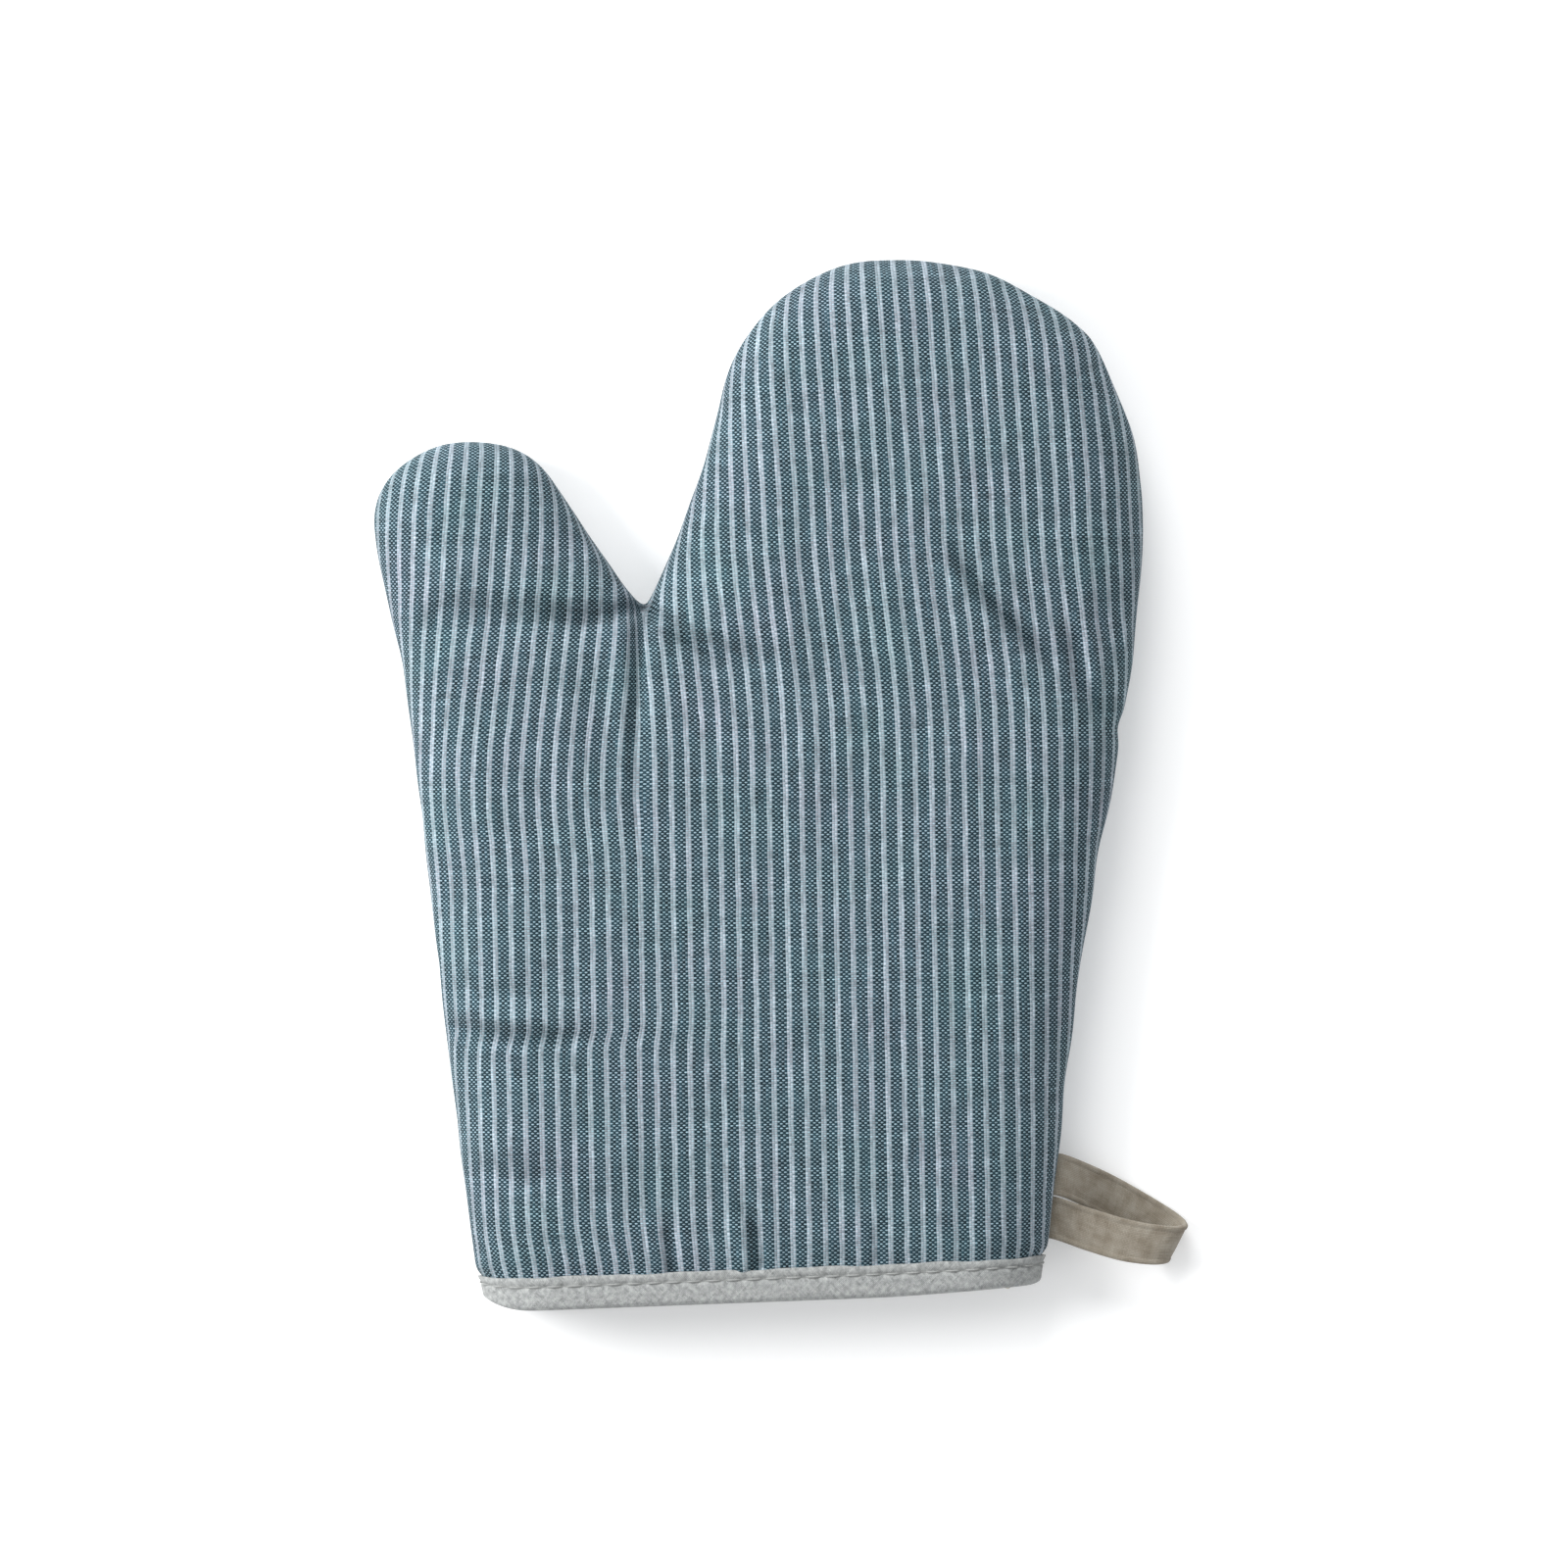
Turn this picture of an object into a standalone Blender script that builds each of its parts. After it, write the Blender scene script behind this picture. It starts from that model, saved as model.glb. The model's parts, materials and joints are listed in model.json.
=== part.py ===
"""Oven mitt lying palm side up on a table, fingers towards +Y and thumb towards -X.

The mitt is a bag in a bag. The outer bag is two panels of striped cotton, each backed with wadding and
sewn together along the side seam. The inner bag is two lining panels. A folded binding tape closes the
raw edges round the wrist, and a loop of the same tape is caught in the side seam for hanging.

Every cloth layer is the same pouch surface, given its own depth and thickness by Solidify. A pouch is
cut flat from the outline, raised on both sides of the seam, and left open at the wrist.
"""

import math

import bmesh
import bpy
from mathutils import Matrix, Vector, geometry

# The outline, seen from above. x is measured from the middle of the wrist, y from the panels' raw edge.
CUFF_WIDTH = 0.144
PALM_LENGTH = 0.1775
FINGER_LENGTH = 0.0875
THUMB_LENGTH = 0.0450
FINGER_WIDTH = 0.1075
THUMB_WIDTH = 0.0440
FINGER_INNER_X = -0.0020
FINGERTIP_X = 0.0400
CROTCH_X = -0.0235
THUMB_TIP_X = -0.0700
THUMB_ROOT_X = -0.0860
CROTCH_ROUNDING = 0.0012
PALM_CENTRE_Y = 0.1080

# How far the filled mitt rises on each side of its seam, and how wide its rolled edges are.
BACK_RISE = 0.0120
PALM_RISE = 0.0145
THUMB_RISE = 0.0130
BACK_ROLL = 0.0120
PALM_ROLL = 0.0200
CUFF_LIFT = 0.0020
CUFF_LIFT_LENGTH = 0.0350
SEAM_HEIGHT = BACK_RISE

# The plies, from the outside in, and the clear space left between neighbouring pieces.
SHELL_CLOTH = 0.0008
WADDING = 0.0040
LINING_CLOTH = 0.0005
PLY_GAP = 0.0003
WADDING_TRIM = 0.0016

# Binding tape round the wrist, and the two rows of one lockstitch that hold it.
BINDING_CLOTH = 0.0007
BINDING_WIDTH = 0.0095
TOPSTITCH_FROM_EDGE = 0.0020
THREAD_DIAMETER = 0.0005

# Hanging loop: a folded tape whose two ends lie side by side in the side seam.
LOOP_TAPE_WIDTH = 0.0108
LOOP_TAPE_CLOTH = 0.0014
LOOP_FROM_CUFF = 0.0235
LOOP_REACH = 0.0315
LOOP_END_SPACE = 0.0004
LOOP_TAIL_DEPTH = 0.0031
LOOP_HINGE_STAND_OFF = 0.0012
LOOP_SKEW = math.radians(22)

# Spacing of the mesh, and how far the pouch runs past the wrist before it is trimmed square.
SEAM_STEP = 0.0110
ROLL_RINGS = (0.0012, 0.0045, 0.0110)
PLATEAU_STEP = 0.0200
THREAD_SIDES = 1
RIBBON_STEPS = 32
CUFF_OVERRUN = 0.0040

TIP_Y = PALM_LENGTH + FINGER_LENGTH
THUMB_TIP_Y = PALM_LENGTH + THUMB_LENGTH
HAND_EDGE_X = FINGER_INNER_X + FINGER_WIDTH
WADDING_DEPTH = SHELL_CLOTH + PLY_GAP
LINING_DEPTH = WADDING_DEPTH + WADDING + PLY_GAP
STACK = LINING_DEPTH + LINING_CLOTH
SHELL_THREAD_DEPTH = WADDING_DEPTH + THREAD_DIAMETER
LINING_THREAD_DEPTH = WADDING_DEPTH + WADDING - 2 * THREAD_DIAMETER
LOOP_SPAN = 2 * LOOP_TAPE_WIDTH + LOOP_END_SPACE

STRIPE_BLUE = (0.165, 0.235, 0.275)
WADDING_WHITE = (0.82, 0.81, 0.77)
LINING_CREAM = (0.72, 0.69, 0.62)
BINDING_GREY = (0.50, 0.50, 0.48)
LOOP_BEIGE = (0.36, 0.32, 0.25)
THREAD_GREY = (0.55, 0.54, 0.50)


# ------------------------------------------------------------------ scene, materials and small helpers


def start_scene():
    for old in list(bpy.data.objects):
        bpy.data.objects.remove(old)
    groups = {}
    for name in ("oven_mitt", "cutters"):
        groups[name] = bpy.data.collections.new(name)
        bpy.context.scene.collection.children.link(groups[name])
    return groups


def cloth_material(name, colour, roughness=0.9):
    material = bpy.data.materials.new(name)
    material.use_nodes = True
    shader = material.node_tree.nodes["Principled BSDF"]
    shader.inputs["Base Color"].default_value = (*colour, 1.0)
    shader.inputs["Roughness"].default_value = roughness
    shader.inputs["Metallic"].default_value = 0.0
    return material


def add_object(name, data, group, parent, material=None):
    made = bpy.data.objects.new(name, data)
    group.objects.link(made)
    made.parent = parent
    if material:
        data.materials.append(material)
    return made


def box_mesh(name, low, high):
    """A closed box between two corners."""
    low, high = Vector(low), Vector(high)
    bm = bmesh.new()
    size = Matrix.Diagonal((*(high - low), 1.0))
    bmesh.ops.create_cube(bm, size=1.0, matrix=Matrix.Translation((low + high) / 2) @ size)
    mesh = bpy.data.meshes.new(name)
    bm.to_mesh(mesh)
    bm.free()
    return mesh


def add_cutter(name, low, high, groups, parent):
    cutter = add_object(name, box_mesh(name, low, high), groups["cutters"], parent)
    cutter.hide_render = True
    cutter.display_type = "WIRE"
    return cutter


def cut(target, cutter):
    modifier = target.modifiers.new(cutter.name, "BOOLEAN")
    modifier.operation = "DIFFERENCE"
    modifier.solver = "EXACT"
    modifier.object = cutter


def evaluated_mesh(source):
    """The object's mesh with its modifiers applied, in its own space."""
    bpy.context.view_layer.update()
    graph = bpy.context.evaluated_depsgraph_get()
    return bpy.data.meshes.new_from_object(source.evaluated_get(graph))


# ------------------------------------------------------------------ outline


def knot(x, y, heading, reach_in, reach_out):
    """A point of the outline with its Bezier handles, for a line that passes at this heading in degrees."""
    point = Vector((x, y))
    along = Vector((math.cos(math.radians(heading)), math.sin(math.radians(heading))))
    return point, point - along * reach_in, point + along * reach_out


def side_seam():
    """The seam line from the right end of the wrist, round the fingers and thumb, to the left end."""
    half = CUFF_WIDTH / 2
    heel_x, heel_y = half + 0.51 * (HAND_EDGE_X - half), 0.575 * PALM_LENGTH
    knuckle_y = PALM_LENGTH + 0.25 * FINGER_LENGTH
    shoulder_x, shoulder_y = HAND_EDGE_X - 0.115 * FINGER_WIDTH, TIP_Y - 0.225 * FINGER_LENGTH
    inner_y = PALM_LENGTH + 0.62 * FINGER_LENGTH
    thumb_inner_x, thumb_inner_y = THUMB_TIP_X + 0.565 * THUMB_WIDTH, PALM_LENGTH + 0.75 * THUMB_LENGTH
    thumb_left_x, thumb_left_y = THUMB_TIP_X - THUMB_WIDTH / 2, PALM_LENGTH + 0.53 * THUMB_LENGTH
    right_lean = math.degrees(math.atan2(heel_y, heel_x - half))
    left_lean = math.degrees(math.atan2(-PALM_LENGTH, -half - THUMB_ROOT_X))
    tip_right, tip_left = 0.40 * (HAND_EDGE_X - FINGERTIP_X), 0.51 * (FINGERTIP_X - FINGER_INNER_X)
    knots = [
        knot(half, 0.0, right_lean, 0.0, 0.3 * heel_y),
        knot(heel_x, heel_y, 77, 0.3 * heel_y, 0.28 * (knuckle_y - heel_y)),
        knot(HAND_EDGE_X, knuckle_y, 87, 0.36 * (knuckle_y - heel_y), 0.18 * (shoulder_y - knuckle_y)),
        knot(shoulder_x, shoulder_y, 140, 0.13 * (shoulder_y - knuckle_y), 0.18 * FINGER_WIDTH),
        knot(FINGERTIP_X, TIP_Y, 180, tip_right, tip_left),
        knot(FINGER_INNER_X, inner_y, 257, 0.18 * FINGER_LENGTH, 0.24 * FINGER_LENGTH),
        knot(CROTCH_X, PALM_LENGTH, 185, CROTCH_ROUNDING, CROTCH_ROUNDING),
        knot(thumb_inner_x, thumb_inner_y, 122, 0.25 * THUMB_LENGTH, 0.28 * THUMB_LENGTH),
        knot(THUMB_TIP_X, THUMB_TIP_Y, 183, 0.17 * THUMB_WIDTH, 0.25 * THUMB_WIDTH),
        knot(thumb_left_x, thumb_left_y, 273, 0.26 * THUMB_LENGTH, 0.33 * THUMB_LENGTH),
        knot(THUMB_ROOT_X, PALM_LENGTH - 0.28 * THUMB_LENGTH, 276, 0.2 * THUMB_LENGTH, 0.2 * PALM_LENGTH),
        knot(-half, 0.0, left_lean, 0.3 * PALM_LENGTH, 0.0),
    ]
    points = []
    for (here, _, leave), (there, arrive, _) in zip(knots, knots[1:]):
        count = max(5, round((there - here).length / SEAM_STEP) + 1)
        points += geometry.interpolate_bezier(here, leave, arrive, there, count)[:-1]
    points.append(knots[-1][0])
    points = [Vector(point[:2]) for point in points]
    first = points[0] + (points[0] - points[1]).normalized() * CUFF_OVERRUN
    last = points[-1] + (points[-1] - points[-2]).normalized() * CUFF_OVERRUN
    return [first, *points, last]


def inward(seam, index):
    """The unit direction that points into the mitt at a point of the seam."""
    before, after = seam[max(index - 1, 0)], seam[min(index + 1, len(seam) - 1)]
    along = (after - before).normalized()
    return Vector((-along.y, along.x))


def distance_to_seam(point, seam):
    best = math.inf
    for a, b in zip(seam, seam[1:]):
        foot, share = geometry.intersect_point_line(point, a, b)
        foot = a if share < 0 else b if share > 1 else foot
        best = min(best, (point - Vector(foot[:2])).length)
    return best


def seam_line_at(seam, depth):
    """The seam line moved into the mitt by this depth, from wrist to wrist, at the seam's height."""
    inset = [seam[i] + inward(seam, i) * depth for i in range(1, len(seam) - 1)]
    clear_of_binding = BINDING_WIDTH + PLY_GAP
    return [Vector((p.x, p.y, SEAM_HEIGHT)) for p in inset if p.y > clear_of_binding]


# ------------------------------------------------------------------ pouch surface


def ease(share):
    share = min(max(share, 0.0), 1.0)
    return share * share * (3 - 2 * share)


def rolled(distance, rise, roll):
    """Height of a padded edge: a quarter ellipse over the roll, then level."""
    left = 1 - min(distance, roll) / roll
    return rise * math.sqrt(1 - left * left)


def heights(point, distance):
    """How far the palm side rises above the seam plane and the back drops below it."""
    thumb_middle = Vector((THUMB_TIP_X, THUMB_TIP_Y - THUMB_WIDTH / 2))
    hand_share = ease(((point - thumb_middle).length - THUMB_WIDTH / 2) / THUMB_WIDTH)
    palm_rise = THUMB_RISE + (PALM_RISE - THUMB_RISE) * hand_share
    thumb_roll = min(THUMB_WIDTH / 2, PALM_ROLL)
    palm_roll = thumb_roll + (PALM_ROLL - thumb_roll) * hand_share
    lift = CUFF_LIFT * (1 - ease((point.y - BINDING_WIDTH) / CUFF_LIFT_LENGTH))
    return rolled(distance, palm_rise, palm_roll), rolled(distance, BACK_RISE - lift, BACK_ROLL)


def flat_pattern(seam):
    """Points of the panel cut flat: the outline, rings that follow its rolled edge, and a grid inside."""
    start, end = seam[-1], seam[0]
    count = max(2, round((end - start).length / PLATEAU_STEP))
    wrist = [start.lerp(end, i / count) for i in range(1, count)]
    boundary = [*seam, *wrist]
    points = list(boundary)
    low_y = min(start.y, end.y)
    for depth in ROLL_RINGS:
        for i in range(1, len(seam) - 1):
            ring_point = seam[i] + inward(seam, i) * depth
            crowded = min((ring_point - other).length for other in points) < 0.4 * depth
            if distance_to_seam(ring_point, seam) > 0.97 * depth and not crowded:
                points.append(ring_point)
    rows = math.ceil((TIP_Y - low_y) / PLATEAU_STEP)
    columns = math.ceil((HAND_EDGE_X - THUMB_TIP_X + THUMB_WIDTH) / PLATEAU_STEP)
    for row in range(rows):
        for column in range(columns + 1):
            x = THUMB_TIP_X - THUMB_WIDTH + (column + 0.5 * (row % 2)) * PLATEAU_STEP
            spot = Vector((x, low_y + (row + 0.5) * PLATEAU_STEP))
            clear_of_rings = distance_to_seam(spot, seam) > ROLL_RINGS[-1] + 0.4 * PLATEAU_STEP
            if clear_of_rings and point_in_outline(spot, boundary):
                points.append(spot)
    return points, list(range(len(boundary)))


def point_in_outline(point, outline):
    inside = False
    for a, b in zip(outline, [*outline[1:], outline[0]]):
        if (a.y > point.y) != (b.y > point.y):
            crossing = a.x + (point.y - a.y) / (b.y - a.y) * (b.x - a.x)
            inside ^= point.x < crossing
    return inside


def pouch_mesh(seam):
    """The mitt's outer surface: palm side and back joined along the seam, open at the wrist."""
    points, boundary = flat_pattern(seam)
    flat, _, triangles, *_ = geometry.delaunay_2d_cdt(points, [], [boundary], 1, 1e-6)
    bm = bmesh.new()
    palm, back = [], []
    for point in flat:
        distance = distance_to_seam(point, seam)
        up, down = heights(point, distance)
        palm.append(bm.verts.new((point.x, point.y, SEAM_HEIGHT + up)))
        on_seam = distance < 1e-5
        back.append(palm[-1] if on_seam else bm.verts.new((point.x, point.y, SEAM_HEIGHT - down)))
    for triangle in triangles:
        bm.faces.new([palm[i] for i in triangle])
        if len({back[i] for i in triangle} - {palm[i] for i in triangle}):
            bm.faces.new([back[i] for i in reversed(triangle)])
    bmesh.ops.recalc_face_normals(bm, faces=bm.faces)
    mesh = bpy.data.meshes.new("pouch")
    bm.to_mesh(mesh)
    bm.free()
    return mesh


# ------------------------------------------------------------------ plies and binding


def add_ply(name, pouch, depth, thickness, group, parent, material):
    """The pouch as a wall of cloth whose outer face lies this deep under the mitt's surface."""
    ply = add_object(name, pouch.copy(), group, parent, material)
    wall = ply.modifiers.new("cloth", "SOLIDIFY")
    wall.thickness = thickness
    wall.offset = -2 * depth / thickness - 1
    return ply


def panel_cutters(groups, frame):
    """Boxes that take away the other half of a pouch, for cloth that meets at the seam and for trimmed
    wadding, and one that squares every raw edge at the wrist."""
    reach = 2 * (TIP_Y + THUMB_WIDTH)
    corner, wrist_corner = (-reach, -reach, -reach), (reach, 0.0, reach)
    cutters = {"wrist": add_cutter("trim_wrist", corner, wrist_corner, groups, frame)}
    for kind, space in (("cloth", PLY_GAP), ("wadding", WADDING_TRIM)):
        above, below = SEAM_HEIGHT + space / 2, SEAM_HEIGHT - space / 2
        cutters["palm", kind] = add_cutter(
            f"keep_palm_{kind}", corner, (reach, reach, above), groups, frame
        )
        cutters["back", kind] = add_cutter(
            f"keep_back_{kind}", (-reach, -reach, below), (reach, reach, reach), groups, frame
        )
    return cutters


def add_panels(pouch, groups, frame, loop_frame):
    """Three plies on each side of the hand."""
    cutters = panel_cutters(groups, frame)
    space = LOOP_TAPE_CLOTH / 2 + PLY_GAP
    slot_side = LOOP_SPAN / 2 + PLY_GAP
    loop_slot = add_cutter(
        "loop_slot",
        (-LOOP_TAIL_DEPTH - PLY_GAP, -slot_side, -space),
        (2 * LOOP_HINGE_STAND_OFF, slot_side, space),
        groups,
        loop_frame,
    )
    plies = (
        ("shell", 0.0, SHELL_CLOTH, "cloth", STRIPE_BLUE),
        ("wadding", WADDING_DEPTH, WADDING, "wadding", WADDING_WHITE),
        ("lining", LINING_DEPTH, LINING_CLOTH, "cloth", LINING_CREAM),
    )
    for ply_name, depth, thickness, kind, colour in plies:
        material = cloth_material(ply_name, colour)
        for side in ("palm", "back"):
            name = f"{side}_{ply_name}"
            ply = add_ply(name, pouch, depth, thickness, groups["oven_mitt"], frame, material)
            cut(ply, cutters[side, kind])
            cut(ply, cutters["wrist"])
            if ply_name != "lining":
                cut(ply, loop_slot)


def add_binding(pouch, groups, frame):
    """Tape folded over the raw edges: an outer leg, a fold at the wrist and an inner leg, as one ring."""
    reach = 2 * (TIP_Y + THUMB_WIDTH)
    fold = BINDING_CLOTH + PLY_GAP
    wall = STACK + 2 * fold
    material = cloth_material("binding", BINDING_GREY)
    binding = add_ply("wrist_binding", pouch, -fold, wall, groups["oven_mitt"], frame, material)
    filled = STACK + 2 * PLY_GAP
    filling = add_ply("binding_filling", pouch, -PLY_GAP, filled, groups["cutters"], frame, material)
    filling.hide_render = True
    filling.display_type = "WIRE"
    corner = (-reach, -reach, -reach)
    above = (-reach, BINDING_WIDTH - fold, -reach)
    cut(binding, add_cutter("binding_top_edge", above, (reach, reach, reach), groups, frame))
    cut(binding, add_cutter("binding_fold_edge", corner, (reach, -fold, reach), groups, frame))
    cut(filling, add_cutter("binding_fold_inside", corner, (reach, -PLY_GAP, reach), groups, frame))
    cut(binding, filling)
    return binding


# ------------------------------------------------------------------ threads


def add_thread(name, points, closed, diameter, group, parent, material=None):
    """A thread laid along a line of points."""
    curve = bpy.data.curves.new(name, "CURVE")
    curve.dimensions = "3D"
    curve.bevel_depth = diameter / 2
    curve.bevel_resolution = THREAD_SIDES
    curve.use_fill_caps = not closed
    spline = curve.splines.new("POLY")
    spline.points.add(len(points) - 1)
    for spot, point in zip(spline.points, points):
        spot.co = (*point, 1.0)
    spline.use_cyclic_u = closed
    return add_object(name, curve, group, parent, material)


def wrist_sections(binding, y):
    """Closed rings of points where the plane at this y crosses the binding, the longest first."""
    bm = bmesh.new()
    bm.from_mesh(evaluated_mesh(binding))
    everything = [*bm.verts, *bm.edges, *bm.faces]
    bmesh.ops.bisect_plane(
        bm, geom=everything, plane_co=(0, y, 0), plane_no=(0, 1, 0), clear_inner=True, clear_outer=True
    )
    bmesh.ops.remove_doubles(bm, verts=bm.verts, dist=THREAD_DIAMETER)
    rings = []
    unused = set(bm.verts)
    while unused:
        vert = unused.pop()
        ring = [vert.co.copy()]
        while vert:
            nearby = [edge.other_vert(vert) for edge in vert.link_edges]
            vert = next((other for other in nearby if other in unused), None)
            if vert:
                unused.remove(vert)
                ring.append(vert.co.copy())
        rings.append(ring)
    bm.free()
    return sorted(rings, key=lambda ring: -ring_length(ring))


def ring_length(ring):
    return sum((b - a).length for a, b in zip(ring, [*ring[1:], ring[0]]))


def moved_ring(ring, distance):
    """The ring of a wrist section moved out of, or with a negative distance into, what it encloses."""
    middle = sum(ring, Vector()) / len(ring)
    moved = []
    for before, here, after in zip([ring[-1], *ring[:-1]], ring, [*ring[1:], ring[0]]):
        along = after - before
        out = Vector((along.z, 0.0, -along.x)).normalized()
        if out.dot(here - middle) < 0:
            out = -out
        moved.append(here + out * distance)
    return moved


def add_threads(seam, binding, groups, frame):
    group = groups["oven_mitt"]
    material = cloth_material("thread", THREAD_GREY, 0.6)
    for ply, depth in (("shell", SHELL_THREAD_DEPTH), ("lining", LINING_THREAD_DEPTH)):
        line = seam_line_at(seam, depth)
        add_thread(f"{ply}_seam_thread", line, False, THREAD_DIAMETER, group, frame, material)
    rings = wrist_sections(binding, BINDING_WIDTH - BINDING_CLOTH - PLY_GAP - TOPSTITCH_FROM_EDGE)
    clear = PLY_GAP + THREAD_DIAMETER / 2
    for name, ring, offset in (("topstitch", rings[0], clear), ("bobbin_thread", rings[-1], -clear)):
        line = moved_ring(ring, offset)
        add_thread(f"binding_{name}", line, True, THREAD_DIAMETER, group, frame, material)


# ------------------------------------------------------------------ hanging loop


def add_loop_frame(seam, frame):
    """An empty on the side seam where the loop is sewn in: x points out of the mitt, y along the seam."""
    index = min(range(1, len(seam) // 2), key=lambda i: abs(seam[i].y - LOOP_FROM_CUFF))
    after = seam[index + 1] if seam[index].y < LOOP_FROM_CUFF else seam[index]
    before = seam[index] if seam[index].y < LOOP_FROM_CUFF else seam[index - 1]
    share = (LOOP_FROM_CUFF - before.y) / (after.y - before.y)
    place = before.lerp(after, share)
    empty = bpy.data.objects.new("loop_frame", None)
    bpy.context.scene.collection.objects.link(empty)
    empty.parent = frame
    empty.location = (place.x, place.y, SEAM_HEIGHT)
    along = (after - before).normalized()
    empty.rotation_euler = (0.0, 0.0, math.atan2(-along.x, along.y))
    return empty


def add_loop_tails(seam, groups, frame, loop_frame):
    """The tape's two ends, flat in the seam. The shell's seam thread passes through both."""
    material = cloth_material("loop_tape_ends", LOOP_BEIGE)
    thick = LOOP_TAPE_CLOTH / 2
    outer = LOOP_HINGE_STAND_OFF - thick - PLY_GAP
    tunnel_diameter = THREAD_DIAMETER + 2 * PLY_GAP
    line = seam_line_at(seam, SHELL_THREAD_DEPTH)
    tunnel_curve = add_thread("tunnel_line", line, False, tunnel_diameter, groups["cutters"], frame)
    tunnel = add_object("thread_tunnel", evaluated_mesh(tunnel_curve), groups["cutters"], frame)
    bpy.data.objects.remove(tunnel_curve)
    bm = bmesh.new()
    bm.from_mesh(tunnel.data)
    bmesh.ops.remove_doubles(bm, verts=bm.verts, dist=1e-6)
    bmesh.ops.recalc_face_normals(bm, faces=bm.faces)
    bm.to_mesh(tunnel.data)
    bm.free()
    tunnel.hide_render = True
    tunnel.display_type = "WIRE"
    for name, side in (("loop_tail_lower", -1), ("loop_tail_upper", 1)):
        near, far = side * LOOP_END_SPACE / 2, side * LOOP_SPAN / 2
        low = (-LOOP_TAIL_DEPTH, min(near, far), -thick)
        high = (outer, max(near, far), thick)
        tail = add_object(name, box_mesh(name, low, high), groups["oven_mitt"], loop_frame, material)
        cut(tail, tunnel)


def loop_line(share):
    """The middle of the loop's tape and the direction across it, at a share of the way from its lower end
    round the crown and back to its upper end. It is measured from the hinge, x out of the mitt."""
    end = (LOOP_TAPE_WIDTH + LOOP_END_SPACE) / 2
    table = -SEAM_HEIGHT + LOOP_TAPE_CLOTH / 2 + 2 * PLY_GAP
    knots = [
        Vector((0.0, -end, 0.0)),
        Vector((0.28 * LOOP_REACH, -1.35 * end, 0.03 * table)),
        Vector((0.58 * LOOP_REACH, -1.65 * end, 0.06 * table)),
        Vector((0.85 * LOOP_REACH, -1.72 * end, 0.17 * table)),
        Vector((0.985 * LOOP_REACH, -1.62 * end, 0.42 * table)),
        Vector((LOOP_REACH, -1.45 * end, 0.70 * table)),
        Vector((0.93 * LOOP_REACH, -1.14 * end, 0.93 * table)),
        Vector((0.72 * LOOP_REACH, -0.55 * end, 0.98 * table)),
        Vector((0.42 * LOOP_REACH, 0.20 * end, 0.85 * table)),
        Vector((0.18 * LOOP_REACH, 0.70 * end, 0.42 * table)),
        Vector((0.0, end, 0.0)),
    ]
    place = share * (len(knots) - 1)
    index = min(int(place), len(knots) - 2)
    before, here = knots[max(index - 1, 0)], knots[index]
    there, after = knots[index + 1], knots[min(index + 2, len(knots) - 1)]
    t = place - index
    spot = 0.5 * (
        2 * here
        + (there - before) * t
        + (2 * before - 5 * here + 4 * there - after) * t**2
        + (3 * here - before - 3 * there + after) * t**3
    )
    skew = LOOP_SKEW * math.sin(math.pi * share) ** 1.5
    return spot, Vector((math.sin(skew), math.cos(skew), 0.0))


def add_loop(groups, loop_frame):
    """The free part of the loop: a ribbon swept along its line, hinged where it leaves the seam."""
    bm = bmesh.new()
    bmesh.ops.create_grid(bm, x_segments=RIBBON_STEPS, y_segments=1, size=0.5)
    for vert in bm.verts:
        spot, across = loop_line(vert.co.x + 0.5)
        vert.co = spot + across * vert.co.y * LOOP_TAPE_WIDTH
    bmesh.ops.recalc_face_normals(bm, faces=bm.faces)
    mesh = bpy.data.meshes.new("hanging_loop")
    bm.to_mesh(mesh)
    bm.free()
    material = cloth_material("loop_tape", LOOP_BEIGE)
    loop = add_object("hanging_loop", mesh, groups["oven_mitt"], loop_frame, material)
    loop.location = (LOOP_HINGE_STAND_OFF, 0.0, 0.0)
    wall = loop.modifiers.new("cloth", "SOLIDIFY")
    wall.thickness = LOOP_TAPE_CLOTH
    wall.offset = 0.0


def main():
    groups = start_scene()
    frame = bpy.data.objects.new("mitt_frame", None)
    bpy.context.scene.collection.objects.link(frame)
    frame.location = (0.0, -PALM_CENTRE_Y, 0.0)
    seam = side_seam()
    loop_frame = add_loop_frame(seam, frame)
    pouch = pouch_mesh(seam)
    add_panels(pouch, groups, frame, loop_frame)
    binding = add_binding(pouch, groups, frame)
    add_threads(seam, binding, groups, frame)
    add_loop_tails(seam, groups, frame, loop_frame)
    add_loop(groups, loop_frame)


main()
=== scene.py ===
"""A padded oven mitt that lies palm side up, fingers towards +Y and thumb towards -X.

The striped panels come first, then the wadding and the lining inside them, the binding round the wrist,
the threads, the hanging loop, and last the table, the lamps and the camera.
"""

import json
import math

import bmesh
import bpy
import numpy as np
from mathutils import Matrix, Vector, geometry, noise


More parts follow.
